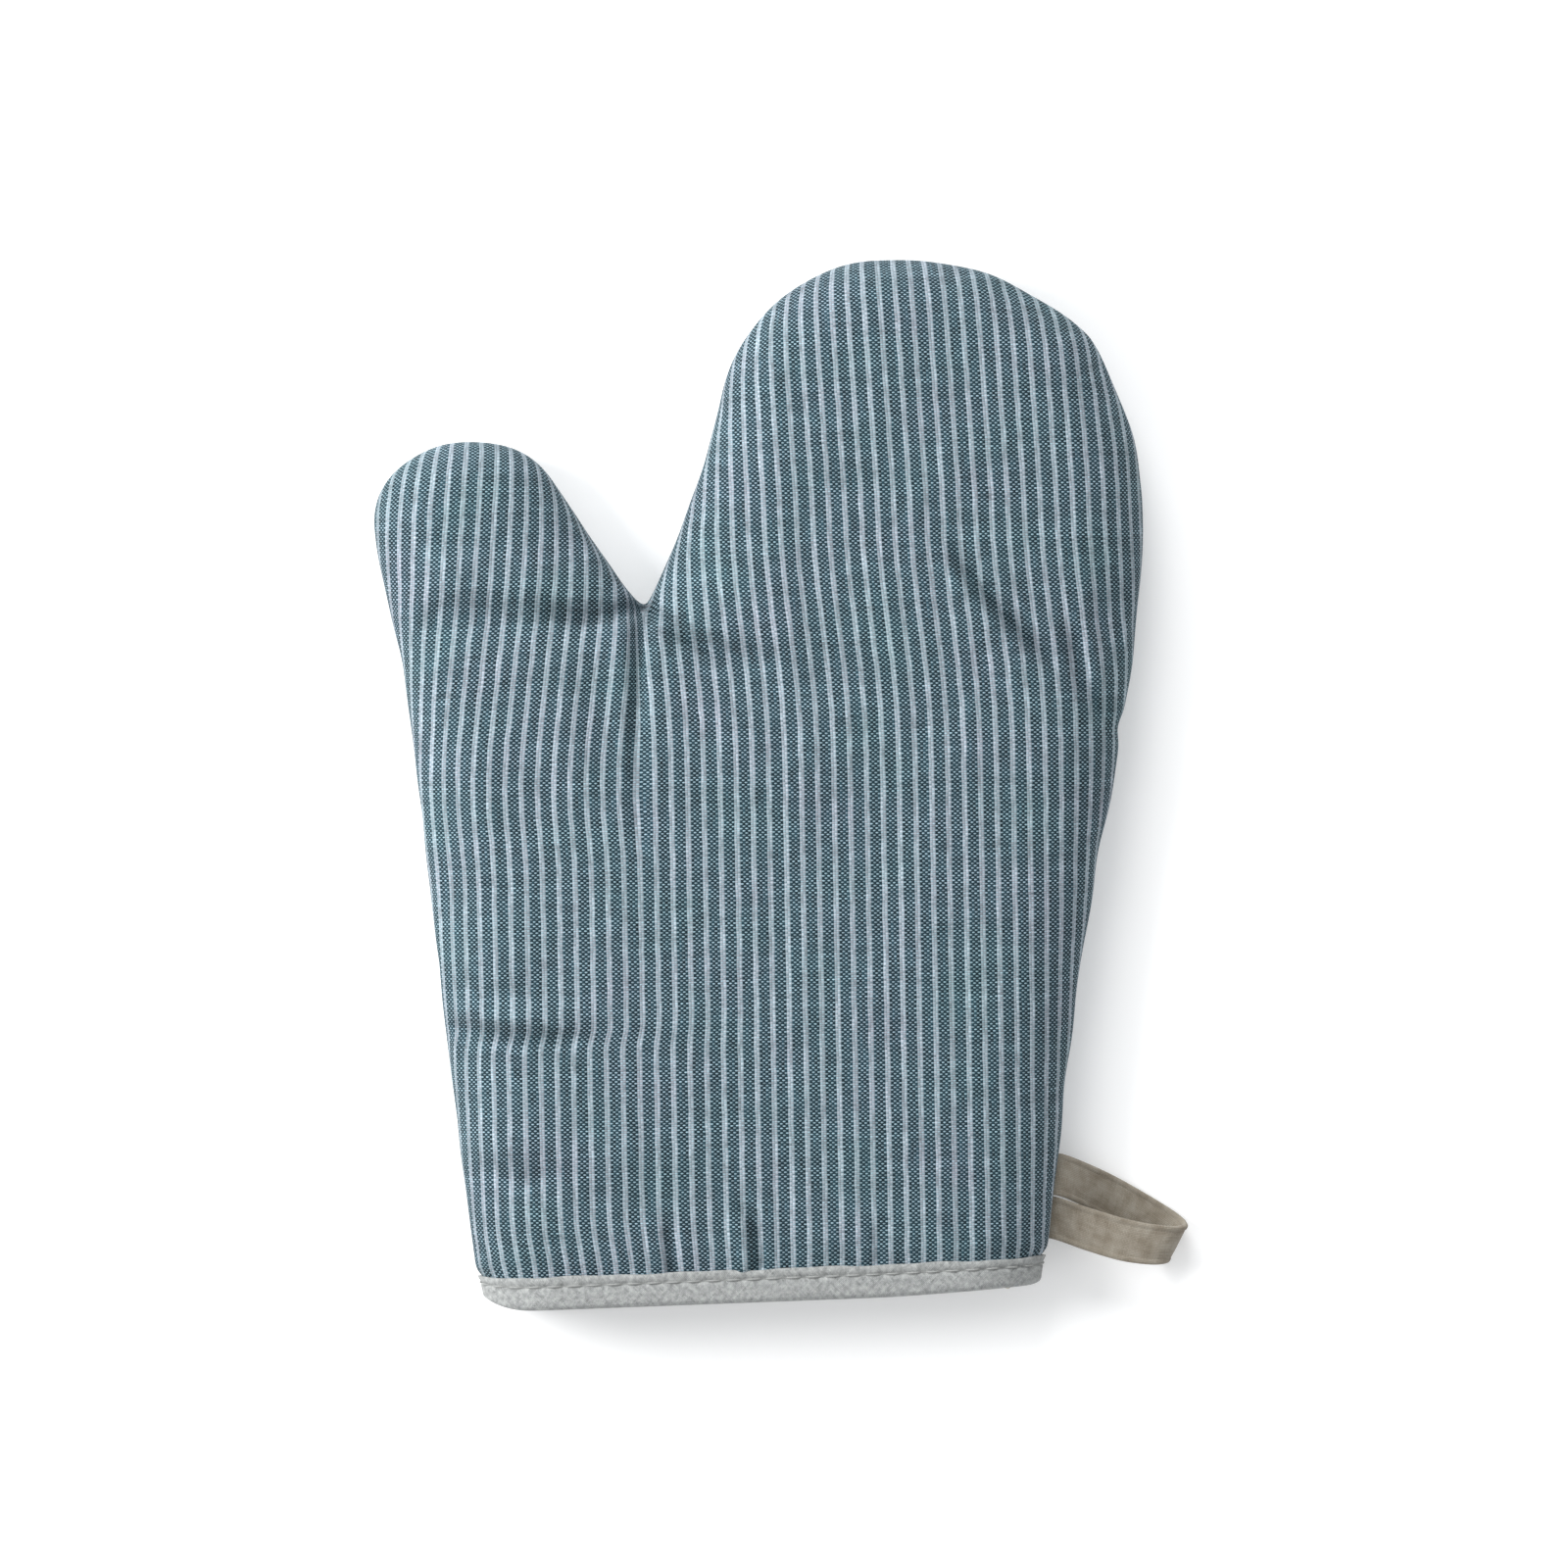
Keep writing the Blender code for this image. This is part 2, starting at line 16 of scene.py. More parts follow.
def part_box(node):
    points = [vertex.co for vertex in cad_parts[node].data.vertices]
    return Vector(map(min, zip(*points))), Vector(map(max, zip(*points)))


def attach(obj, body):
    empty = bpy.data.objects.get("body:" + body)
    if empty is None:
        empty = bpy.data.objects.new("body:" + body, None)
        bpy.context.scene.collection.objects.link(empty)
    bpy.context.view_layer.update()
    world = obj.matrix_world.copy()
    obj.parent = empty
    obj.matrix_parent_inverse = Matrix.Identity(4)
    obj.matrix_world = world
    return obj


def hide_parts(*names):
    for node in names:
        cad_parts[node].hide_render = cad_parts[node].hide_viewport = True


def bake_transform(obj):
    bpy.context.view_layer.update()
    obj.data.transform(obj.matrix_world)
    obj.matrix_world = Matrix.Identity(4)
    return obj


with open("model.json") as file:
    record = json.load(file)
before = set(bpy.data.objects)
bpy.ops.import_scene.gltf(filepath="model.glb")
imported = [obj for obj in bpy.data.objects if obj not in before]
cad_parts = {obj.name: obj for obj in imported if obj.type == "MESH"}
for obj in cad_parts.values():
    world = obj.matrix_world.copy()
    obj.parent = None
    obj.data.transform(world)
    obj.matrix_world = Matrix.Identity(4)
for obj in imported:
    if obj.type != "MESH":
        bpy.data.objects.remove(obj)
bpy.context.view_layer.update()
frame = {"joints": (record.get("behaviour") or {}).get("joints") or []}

# ------------------------------------------------------------------ the side seam
# The mitt is two hand-shaped panels sewn together along one seam, from the right end of the wrist round
# the fingers and the thumb to the left end. The thumb meets the fingers in a sharp point. The seam is
# pulled in a little where its stitches have gathered the cloth.

palm_low, palm_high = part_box("palm_shell")
back_low, back_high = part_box("back_shell")
wrist_y = palm_low.y
seam_z = (palm_low.z + back_high.z) / 2
fingertip = palm_high.y - wrist_y
outer_side, thumb_side = palm_high.x, palm_low.x
half_wrist = 0.0720
crotch = Vector((-0.0235, 0.1785))


def seam_knot(x, y, heading, arriving, leaving):
    """A point of the seam and its two handles. The seam passes at this heading, in degrees."""
    point = Vector((x, y))
    way = Vector((math.cos(math.radians(heading)), math.sin(math.radians(heading))))
    return point, point - way * arriving, point + way * leaving


seam_knots = [
    seam_knot(half_wrist, 0.0, 81, 0.0, 0.030),
    seam_knot(0.0890, 0.1020, 77, 0.0305, 0.0275),
    seam_knot(outer_side, 0.1995, 87, 0.0350, 0.0115),
    seam_knot(0.0922, 0.2441, 138, 0.0085, 0.0194),
    seam_knot(0.0400, fingertip, 179, 0.0264, 0.0214),
    seam_knot(-0.0018, 0.2317, 257, 0.0158, 0.0210),
    seam_knot(crotch.x, crotch.y, 185, 0.0014, 0.0014),
    seam_knot(-0.0452, 0.2112, 122, 0.0112, 0.0127),
    seam_knot(-0.0700, 0.2225, 183, 0.0074, 0.0110),
    seam_knot(thumb_side, 0.2014, 273, 0.0117, 0.0149),
    seam_knot(-0.0860, 0.1649, 276, 0.0090, 0.0354),
    seam_knot(-half_wrist, 0.0, 276, 0.0530, 0.0),
]
drawn = []
for (here, _, leave), (there, arrive, _) in zip(seam_knots, seam_knots[1:]):
    drawn += geometry.interpolate_bezier(here, leave, arrive, there, 200)[:-1]
drawn = np.array([p[:2] for p in drawn] + [seam_knots[-1][0][:2]])


def run_of(line):
    """How far along a line each of its points lies."""
    return np.concatenate([[0.0], np.cumsum(np.linalg.norm(np.diff(line, axis=0), axis=1))])


def spaced(line, step):
    """The same line with points this far apart."""
    run = run_of(line)
    stops = np.linspace(0.0, run[-1], round(run[-1] / step) + 1)
    return np.stack([np.interp(stops, run, line[:, i]) for i in range(line.shape[1])], axis=1)


def ease(share):
    share = np.clip(share, 0.0, 1.0)
    return share * share * (3 - 2 * share)


seam = spaced(drawn, 0.0019)
seam_way = np.gradient(seam, axis=0)
seam_way /= np.linalg.norm(seam_way, axis=1)[:, None]
seam_out = np.stack([seam_way[:, 1], -seam_way[:, 0]], axis=1)
seam_run = run_of(seam)
# Fine gathers all round, stronger ones on the side away from the thumb, and one notch there. They fade at
# the wrist and at the crotch, and the binding squeezes the wrist's ends.
gathers = 0.00006 * np.sin(seam_run / 0.0031) + 0.00008 * np.sin(seam_run / 0.0068 + 1.3)
gathers += 0.00030 * np.sin(seam_run / 0.0049 + 0.4) * ease((seam[:, 0] - 0.04) / 0.05)
notch = np.linalg.norm(seam - np.array([0.0985, 0.1425]), axis=1)
gathers -= 0.0010 * np.exp(-((notch / 0.0030) ** 2)) - 0.0004 * np.exp(-((notch / 0.008) ** 2))
gathers *= ease((seam[:, 1] - 0.012) / 0.03)
gathers *= ease((np.linalg.norm(seam - np.array(crotch), axis=1) - 0.004) / 0.02)
tape_squeeze = 0.0021 * (1 - ease((seam[:, 1] - 0.0072) / 0.0034)) * (seam[:, 1] < 0.05)
gathers += 0.00055 - tape_squeeze
seam += seam_out * gathers[:, None]


def from_seam(places):
    """For points of the panel: the distance to the seam, the way out to it, and the place along it."""
    a, b = seam[:-1], seam[1:]
    ab = b - a
    near = np.full(len(places), np.inf)
    way, along = np.zeros((len(places), 2)), np.zeros(len(places))
    for first in range(0, len(places), 4000):
        p = places[first : first + 4000, None, :]
        share = np.clip(((p - a) * ab).sum(2) / (ab * ab).sum(1), 0, 1)
        foot = a + share[:, :, None] * ab
        gap = np.linalg.norm(p - foot, axis=2)
        best = gap.argmin(1)
        row = np.arange(len(best))
        chosen = slice(first, first + len(best))
        near[chosen] = gap[row, best]
        step = foot[row, best] - p[:, 0]
        length = np.maximum(near[chosen], 1e-9)[:, None]
        way[chosen] = np.where(near[chosen, None] > 1e-6, step / length, seam_out[best])
        along[chosen] = seam_run[best] + share[row, best] * (seam_run[best + 1] - seam_run[best])
    return near, way, along


# ------------------------------------------------------------------ the striped panels
# Palm and back are the same blue and white striped cotton, cut a little off the grain. Each one rolls over
# the wadding to meet the other at the seam. Round the thumb, the wrist and one side the padding has
# pushed the cloth into folds.

palm_rise, back_rise = palm_high.z - seam_z, seam_z - back_low.z
thumb_rise, thumb_tip = 0.0130, np.array([-0.0700, 0.2005])
palm_roll, back_roll = 0.0200, 0.0120
cloth_thickness = 0.0008


def puffed(places, near):
    """How far the palm stands above the seam, and the back below it."""
    to_thumb = np.linalg.norm(places - thumb_tip, axis=1)
    hand = ease((to_thumb - 0.022) / 0.044)
    palm = thumb_rise + (palm_rise - thumb_rise) * hand
    back = back_rise - 0.0020 * (1 - ease((places[:, 1] - 0.0095) / 0.035))
    tape_pull = 1 - 0.07 * (1 - ease((places[:, 1] - 0.0075) / 0.007))
    palm, back = palm * tape_pull, back * tape_pull
    heights = []
    for rise, roll in ((palm, palm_roll), (back, back_roll)):
        left = 1 - np.minimum(near, roll) / roll
        heights.append(rise * np.sqrt(1 - left * left))
    return heights


def rolled_length(near, rise, roll):
    """The cloth used between the seam and a point, over and above the distance seen from above."""
    angle = np.linspace(0, math.pi / 2, 200)
    across, up = roll * (1 - np.cos(angle)), rise * np.sin(angle)
    used = run_of(np.stack([across, up], axis=1))
    return np.interp(near, across, used - across)


def wrist_curl(x, y):
    """How far the wrist's corners turn up towards the fingers. The thumb's side is rounder."""
    lift = np.zeros_like(x)
    for gap, round_off, most in ((x + half_wrist, 0.0125, 0.0060), (half_wrist - x, 0.0032, 0.0014)):
        left = np.clip(1 - gap / round_off, 0, 1)
        lift += most * (1 - np.sqrt(1 - left * left))
    lift += 0.0013 * ease(1 - (half_wrist - x) / 0.045)
    return lift * (1 - ease((y + 0.001) / 0.011))


def off_grain(x, y):
    """How far the stripes have wandered from straight lines, in metres."""
    mm_x, mm_y = x * 1000, y * 1000
    drift = -0.3 - 0.021 * (np.clip(mm_y, 0, 140) - 20)
    drift += 3.0 * ease((mm_y - 145) / 52) + 1.75 * np.clip((mm_y - 205) / 57, 0, 1.2)
    thumb = ease((-24.0 - mm_x) / 3.5) * ease((mm_y - 108) / 45)
    thumb_drift = -0.14 * (np.clip(mm_y, 125, 185) - 147) - 0.09 * (np.clip(mm_y, 185, 230) - 185) - 3.0
    drift = drift * (1 - thumb) + thumb_drift * thumb
    left = ease((12.0 - mm_x) / 60)
    drift += 1.3 * left * (1 - ease((mm_y - 66) / 6)) * ease((mm_y - 3) / 24)
    drift -= 0.8 * left * (1 - ease((mm_y - 6) / 16))
    return drift * 0.001


def flat_panel():
    """The cut panel: the outline filled, with close rows along the seam and an even net inside them.

    The parts are kept in order and not in sets, so that every run gives the same net.
    """
    bm = bmesh.new()
    corners = [bm.verts.new((x, y, 0.0)) for x, y in seam]
    wrist = np.linspace(seam[-1], seam[0], 74)[1:-1]
    corners += [bm.verts.new((x, y, 0.0)) for x, y in wrist]
    inside = bm.faces.new(corners)
    bm.normal_update()
    for width in (0.0004, 0.0006, 0.0008, 0.0010):
        bmesh.ops.inset_region(bm, faces=[inside], thickness=width, use_even_offset=True, use_boundary=True)
    inside.material_index = 1
    net = 0.0020
    for axis, low, high in ((1, 0.0, fingertip), (0, thumb_side, outer_side)):
        for place in np.arange(low + 0.5 * net, high, net):
            faces = [f for f in bm.faces if f.material_index == 1]
            parts = dict.fromkeys(faces)
            for face in faces:
                parts.update(dict.fromkeys(face.edges))
                parts.update(dict.fromkeys(face.verts))
            at, way = Vector((0, 0, 0)), Vector((0, 0, 0))
            at[axis], way[axis] = place, 1.0
            bmesh.ops.bisect_plane(bm, geom=list(parts), dist=1e-5, plane_co=at, plane_no=way)
    inner = dict.fromkeys(v for f in bm.faces if f.material_index == 1 for v in f.verts)
    bmesh.ops.remove_doubles(bm, verts=list(inner), dist=0.0006)
    for face in bm.faces:
        face.material_index = 0
    return bm


def sewn_bag():
    """Both panels, rolled over the padding and joined at the seam, with the cut cloth as their UV map."""
    bm = flat_panel()
    twin = bmesh.ops.duplicate(bm, geom=[*bm.verts, *bm.edges, *bm.faces])["geom"]
    back_faces = [g for g in twin if isinstance(g, bmesh.types.BMFace)]
    bmesh.ops.reverse_faces(bm, faces=back_faces)
    for face in back_faces:
        face.material_index = 1
    cloth = bm.loops.layers.uv.new("cloth")
    cut_flat = bm.verts.layers.float_vector.new("cut_flat")
    bm.verts.index_update()
    places = np.array([v.co[:2] for v in bm.verts])
    near, way, _ = from_seam(places)
    near[near < 2e-5] = 0.0
    up, down = puffed(places, near)
    is_back = np.zeros(len(places), bool)
    for face in back_faces:
        is_back[[v.index for v in face.verts]] = True
    extra = rolled_length(palm_roll, palm_rise, palm_roll) - rolled_length(near, palm_rise, palm_roll)
    extra_back = rolled_length(back_roll, back_rise, back_roll) - rolled_length(near, back_rise, back_roll)
    flat = places + way * np.where(is_back, extra_back, extra)[:, None]
    by_crotch = ease(np.linalg.norm(places - np.array(crotch), axis=1) / 0.030)[:, None]
    unstrained = places + (flat - places) * by_crotch
    for vert, spot in zip(bm.verts, unstrained):
        vert[cut_flat] = (spot[0], spot[1] + wrist_y, 0.0)
    flat[:, 0] += off_grain(places[:, 0], places[:, 1])
    for face in bm.faces:
        for loop in face.loops:
            loop[cloth].uv = flat[loop.vert.index]
    seam_pull = 0.0006 * np.exp(-((near / 0.0005) ** 2))
    places = places - way * seam_pull[:, None]
    places[:, 1] += wrist_curl(places[:, 0], places[:, 1]) + 0.0013 * (1 - ease(places[:, 1] / 0.007))
    for vert, place, high, low, back in zip(bm.verts, places, up, down, is_back):
        vert.co = (place[0], place[1] + wrist_y, seam_z + (-low if back else high))
    bmesh.ops.remove_doubles(bm, verts=bm.verts, dist=2e-5)
    bmesh.ops.recalc_face_normals(bm, faces=bm.faces)
    mesh = bpy.data.meshes.new("bag")
    bm.to_mesh(mesh)
    bm.free()
    return mesh


bag = bpy.data.objects.new("bag", sewn_bag())
bpy.context.scene.collection.objects.link(bag)


def settle(bag, frames=14, furthest=0.0035):
    """Lets the cloth find its own folds: it was cut flat and larger, and is held round the wadding."""
    cut_flat = [Vector(item.vector) for item in bag.data.attributes["cut_flat"].data]
    start = [v.co.copy() for v in bag.data.vertices]
    bag.shape_key_add(name="sewn")
    cut_cloth = bag.shape_key_add(name="cut cloth")
    for point, spot in zip(cut_cloth.data, cut_flat):
        point.co = spot
    held = bag.vertex_groups.new(name="held at the wrist")
    for vert in bag.data.vertices:
        depth = (vert.co.y - wrist_y) / 0.034
        held.add([vert.index], float(1 - ease((depth - 0.35) / 0.65)), "REPLACE")
    cloth = bag.modifiers.new("cloth", "CLOTH")
    cloth.settings.rest_shape_key = cut_cloth
    cloth.settings.quality = 6
    cloth.settings.mass = 0.25
    cloth.settings.tension_stiffness = 12
    cloth.settings.compression_stiffness = 12
    cloth.settings.shear_stiffness = 6
    cloth.settings.bending_stiffness = 1.2
    cloth.settings.tension_damping = cloth.settings.compression_damping = 8
    cloth.settings.air_damping = 4
    cloth.settings.use_pressure = True
    cloth.settings.uniform_pressure_force = 1.4
    cloth.settings.vertex_group_mass = held.name
    cloth.settings.effector_weights.gravity = 0.0
    cloth.collision_settings.use_collision = False
    scene = bpy.context.scene
    for step in range(1, frames + 1):
        scene.frame_set(step)
    settled = bag.evaluated_get(bpy.context.evaluated_depsgraph_get()).to_mesh()
    moved = [v.co.copy() for v in settled.vertices]
    bag.modifiers.clear()
    bag.shape_key_clear()
    scene.frame_set(1)
    for vert, before, after in zip(bag.data.vertices, start, moved):
        step = (after - before) * float(ease((before.y - wrist_y - 0.010) / 0.060))
        if step.length > furthest:
            step *= furthest / step.length
        vert.co = before + step
        vert.co.z = max(vert.co.z, 0.0)


settle(bag)


def press_fold(points, line, depth, width, left, right, starts, ends):
    """Presses a fold into the palm along a line, with the cloth it pushes up to the left and right of it."""
    if len(points) < len(fine.vertices):  # the coarse bag inside stays clear of the fine cloth's folds
        depth, width = depth * 1.15, width * 1.3
    line = np.array(line) * 0.001
    run = run_of(line)
    stops = np.linspace(0, run[-1], 60)
    line = np.stack([np.interp(stops, run, line[:, i]) for i in (0, 1)], axis=1)
    for _ in range(60):
        line[1:-1] = (line[:-2] + line[1:-1] * 2 + line[2:]) / 4
    reach = 5 * width + 0.004
    low, high = line.min(0) - reach, line.max(0) + reach
    flat = points[:, :2] - (0.0, wrist_y)
    close = ((flat > low) & (flat < high)).all(1) & (points[:, 2] > seam_z + 1e-6)
    p = flat[close][:, None]
    a, ab = line[:-1], np.diff(line, axis=0)
    share = np.clip(((p - a) * ab).sum(2) / (ab * ab).sum(1), 0, 1)
    offset = p - (a + share[:, :, None] * ab)
    gap = np.linalg.norm(offset, axis=2)
    best = gap.argmin(1)
    row = np.arange(len(best))
    side = np.sign(ab[best, 0] * offset[row, best, 1] - ab[best, 1] * offset[row, best, 0])
    across = gap[row, best] * side / width
    at = (best + share[row, best]) / (len(line) - 1)
    strength = ease(at / max(starts, 1e-3)) * ease((1 - at) / max(ends, 1e-3))
    height = points[close, 2] - seam_z
    pushed = left * np.exp(-(((across - 2.0) / 1.5) ** 2)) + right * np.exp(-(((across + 2.0) / 1.5) ** 2))
    pressed = height * (1 - np.exp(-depth * np.exp(-(across**2)) * strength / height))
    points[close, 2] += pushed * strength * np.minimum(height / 0.004, 1) - pressed


# Each fold: its line in mm, its depth and width in mm, how high the cloth is pushed up to the left and to
# the right of it in mm, and the shares of its length over which it starts and ends.
folds = [
    # from the crotch across the root of the fingers
    ([(-24, 179), (-15, 170.5), (-5, 166), (10, 160)], 5.0, 2.1, 2.0, 0.2, 0.02, 0.6),
    ([(-20, 174), (-5, 165), (14, 158), (30, 155), (52, 149)], 2.6, 6.5, 1.4, 0.0, 0.1, 0.7),
    # from the crotch across the root of the thumb
    ([(-23, 179), (-31, 176), (-39, 176.3), (-54, 179)], 3.6, 1.9, 0.5, 1.0, 0.02, 0.5),
    ([(-28, 173.5), (-45, 175), (-62, 176.5), (-84, 178)], 3.6, 4.8, 0.0, 2.1, 0.2, 0.2),
    # from the crotch down the palm
    ([(-23.4, 179), (-25.6, 158), (-26.7, 143), (-27, 104)], 4.2, 2.3, 0.3, 0.6, 0.02, 0.8),
    ([(-36, 172), (-35, 158), (-33, 140), (-31, 118)], 1.6, 5.5, 0.0, 0.0, 0.3, 0.5),
    # by the side away from the thumb
    ([(52, 197), (60, 183), (71, 169.6), (85, 156)], 4.8, 2.1, 1.8, 1.2, 0.35, 0.25),
    ([(83, 172), (86, 162), (88, 153), (95, 144)], 3.0, 2.4, 1.4, 0.5, 0.3, 0.2),
    # in from the thumb's side, between the thumb and the wrist
    ([(-79.5, 73.6), (-66, 70.8), (-52, 68.8), (-34, 68)], 3.4, 2.3, 1.8, 0.3, 0.12, 0.5),
    ([(-80, 84), (-66, 80), (-50, 80)], 1.4, 4.0, 0.8, 0.0, 0.2, 0.4),
    ([(-77, 38), (-60, 34), (-46, 33)], 2.0, 4.2, 0.8, 0.4, 0.2, 0.4),
    # puckers at the binding
    ([(-8, 27), (-1.2, 21.6), (-0.3, 8)], 3.0, 1.7, 0.6, 1.5, 0.4, 0.02),
    ([(-26, 26), (-23, 20), (-22.5, 8)], 1.8, 1.5, 0.2, 0.8, 0.5, 0.02),
    ([(31, 22), (30, 15), (30, 8)], 1.0, 1.5, 0.3, 0.4, 0.5, 0.02),
]


swell_height = 0.00080


def crease(points, near):
    """Presses in every fold and gives the cloth between them a slight swell."""
    for line, depth, width, left, right, starts, ends in folds:
        press_fold(points, line, depth / 1000, width / 1000, left / 1000, right / 1000, starts, ends)
    on_palm = points[:, 2] > seam_z - 0.0005
    for i in np.flatnonzero(near > 0.002):
        x, y, z = points[i] / 0.001
        swell = noise.noise((x / 31, y / 44, 3.7)) + 0.55 * noise.noise((x / 15, y / 24, 9.1))
        swell += 0.22 * noise.noise((x / 6.5, y / 9, 5.5))
        depth = min((near[i] - 0.002) / 0.010, 1.0) * min((y - wrist_y * 1000 - 6) / 30 + 0.1, 1.0)
        points[i, 2] += swell_height * swell * depth * (1.0 if on_palm[i] else -0.4)


refine = bag.modifiers.new("finer cloth", "SUBSURF")
refine.levels = refine.render_levels = 1
fine = bpy.data.meshes.new_from_object(bag.evaluated_get(bpy.context.evaluated_depsgraph_get()))
bag.modifiers.clear()


def creased(mesh):
    points = np.empty(len(mesh.vertices) * 3)
    mesh.vertices.foreach_get("co", points)
    points = points.reshape(-1, 3)
    near, _, _ = from_seam(points[:, :2] - (0.0, wrist_y))
    crease(points, near)
    points[:, 2] = np.maximum(points[:, 2], 0.0)
    mesh.vertices.foreach_set("co", points.ravel())
    mesh.update()


creased(fine)
creased(bag.data)


def half_of(mesh, name, side):
    """One panel of the bag as its own object. Side 0 is the palm and side 1 the back."""
    bm = bmesh.new()
    bm.from_mesh(mesh)
    others = [f for f in bm.faces if f.material_index != side]
    bmesh.ops.delete(bm, geom=others, context="FACES")
    for face in bm.faces:
        face.material_index = 0
        face.smooth = True
    data = bpy.data.meshes.new(name)
    bm.to_mesh(data)
    bm.free()
    panel = bpy.data.objects.new(name, data)
    bpy.context.scene.collection.objects.link(panel)
    return panel


def as_wall(panel, thickness, depth=0.0):
    """Gives a panel its thickness, with its outer face this far under the mitt's surface."""
    wall = panel.modifiers.new("thickness", "SOLIDIFY")
    wall.thickness = thickness
    wall.offset = -2 * depth / thickness - 1


def add_node(tree, kind, **values):
    """A shader node with its settings, its plain values and its links given by name."""
    node = tree.nodes.new("ShaderNode" + kind)
    for name, value in values.items():
        name = name.replace("_", " ")
        if name.lower().replace(" ", "_") in node.bl_rna.properties and name.islower():
            setattr(node, name.replace(" ", "_"), value)
        elif isinstance(value, bpy.types.NodeSocket):
            tree.links.new(value, node.inputs[name])
        else:
            node.inputs[name].default_value = value
    return node


def calc(tree, operation, *values):
    """One step of arithmetic in a material."""
    node = tree.nodes.new("ShaderNodeMath")
    node.operation = operation
    for socket, value in zip(node.inputs, values):
        if isinstance(value, bpy.types.NodeSocket):
            tree.links.new(value, socket)
        else:
            socket.default_value = value
    return node.outputs[0]


def blended(tree, share, first, second, way="MIX"):
    """Two colours mixed by a share."""
    node = tree.nodes.new("ShaderNodeMix")
    node.data_type = "RGBA"
    node.blend_type = way
    for socket, value in ((node.inputs[0], share), (node.inputs[6], first), (node.inputs[7], second)):
        if isinstance(value, bpy.types.NodeSocket):
            tree.links.new(value, socket)
        else:
            socket.default_value = (*value, 1.0) if isinstance(value, tuple) else value
    return node.outputs[2]


def plain_weave():
    """Plain weave: every warp yarn goes over one weft yarn and under the next. It works for any cloth here."""
    tree = bpy.data.node_groups.new("plain weave", "ShaderNodeTree")
    for name, kind in (("Place", "NodeSocketVector"), ("Warp Spacing", "NodeSocketFloat"),
                       ("Weft Spacing", "NodeSocketFloat"), ("Warp Cover", "NodeSocketFloat")):
        tree.interface.new_socket(name, in_out="INPUT", socket_type=kind)
    for name in ("Warp On Top", "Height", "Warp Number", "Weft Number", "Yarn Tone", "Slub"):
        tree.interface.new_socket(name, in_out="OUTPUT", socket_type="NodeSocketFloat")
    given = tree.nodes.new("NodeGroupInput").outputs
    place = add_node(tree, "SeparateXYZ", Vector=given["Place"]).outputs
    wander = add_node(tree, "TexNoise", Vector=given["Place"], Scale=190.0, Detail=2.0).outputs["Fac"]
    wander = calc(tree, "MULTIPLY_ADD", wander, 0.70, -0.35)
    warp = calc(tree, "ADD", calc(tree, "DIVIDE", place["X"], given["Warp Spacing"]), wander)
    weft = calc(tree, "SUBTRACT", calc(tree, "DIVIDE", place["Y"], given["Weft Spacing"]), wander)
    warp_number, weft_number = calc(tree, "FLOOR", warp), calc(tree, "FLOOR", weft)
    tops = []
    for yarn, number, other, sign in ((warp, warp_number, weft, 1.0), (weft, weft_number, warp, -1.0)):
        middle = calc(tree, "SUBTRACT", calc(tree, "SUBTRACT", yarn, number), 0.5)
        off_middle = calc(tree, "MULTIPLY", middle, middle)
        round_top = calc(tree, "SQRT", calc(tree, "MULTIPLY_ADD", off_middle, -3.7, 1.0))
        turn = calc(tree, "COSINE", calc(tree, "MULTIPLY", number, math.pi))
        bend = calc(tree, "COSINE", calc(tree, "MULTIPLY_ADD", other, math.pi, -math.pi / 2))
        wave = calc(tree, "MULTIPLY", calc(tree, "MULTIPLY", turn, bend), 0.5 * sign)
        tops.append(calc(tree, "MULTIPLY_ADD", round_top, 0.6, wave))
    over = calc(tree, "ADD", calc(tree, "SUBTRACT", tops[0], tops[1]), given["Warp Cover"])
    sharp = tree.nodes.new("ShaderNodeClamp")
    tree.links.new(calc(tree, "MULTIPLY_ADD", over, 4.0, 0.5), sharp.inputs["Value"])
    on_top = sharp.outputs[0]
    height = calc(tree, "MAXIMUM", tops[0], tops[1])
    tones, slubs = [], []
    for number, along, shift in ((warp_number, place["Y"], 3.1), (weft_number, place["X"], 57.3)):
        random = tree.nodes.new("ShaderNodeTexWhiteNoise")
        random.noise_dimensions = "1D"
        tree.links.new(calc(tree, "ADD", number, shift), random.inputs["W"])
        tones.append(random.outputs["Value"])
        spot = add_node(tree, "CombineXYZ", X=calc(tree, "MULTIPLY", number, 5.37),
                        Y=calc(tree, "MULTIPLY", along, 190.0), Z=shift).outputs[0]
        slubs.append(add_node(tree, "TexNoise", Vector=spot, Scale=1.0, Detail=2.0).outputs["Fac"])
    given_out = tree.nodes.new("NodeGroupOutput").inputs
    mixed = []
    for pair in (tones, slubs):
        node = tree.nodes.new("ShaderNodeMix")
        for socket, value in zip(node.inputs[:1] + [node.inputs[2], node.inputs[3]], (on_top, pair[1], pair[0])):
            tree.links.new(value, socket)
        mixed.append(node.outputs[0])
    for name, value in zip(("Warp On Top", "Height", "Warp Number", "Weft Number", "Yarn Tone", "Slub"),
                           (on_top, height, warp_number, weft_number, *mixed)):
        tree.links.new(value, given_out[name])
    return tree


weave = plain_weave()


def shaded(tree, colour, shade):
    """A colour made darker by a grey value: painted shade in the weave's hollows, and in the striped cotton the
    yarns' own tone too.
    """
    grey = add_node(tree, "CombineXYZ", X=shade, Y=shade, Z=shade).outputs[0]
    return blended(tree, 1.0, colour, grey, "MULTIPLY")


def weave_in(tree, place, warp, weft, cover=0.0):
    """The plain weave laid out in one material, with its yarn spacings in metres."""
    node = tree.nodes.new("ShaderNodeGroup")
    node.node_tree = weave
    tree.links.new(place, node.inputs["Place"])
    node.inputs["Warp Spacing"].default_value = warp
    node.inputs["Weft Spacing"].default_value = weft
    node.inputs["Warp Cover"].default_value = cover
    return node.outputs


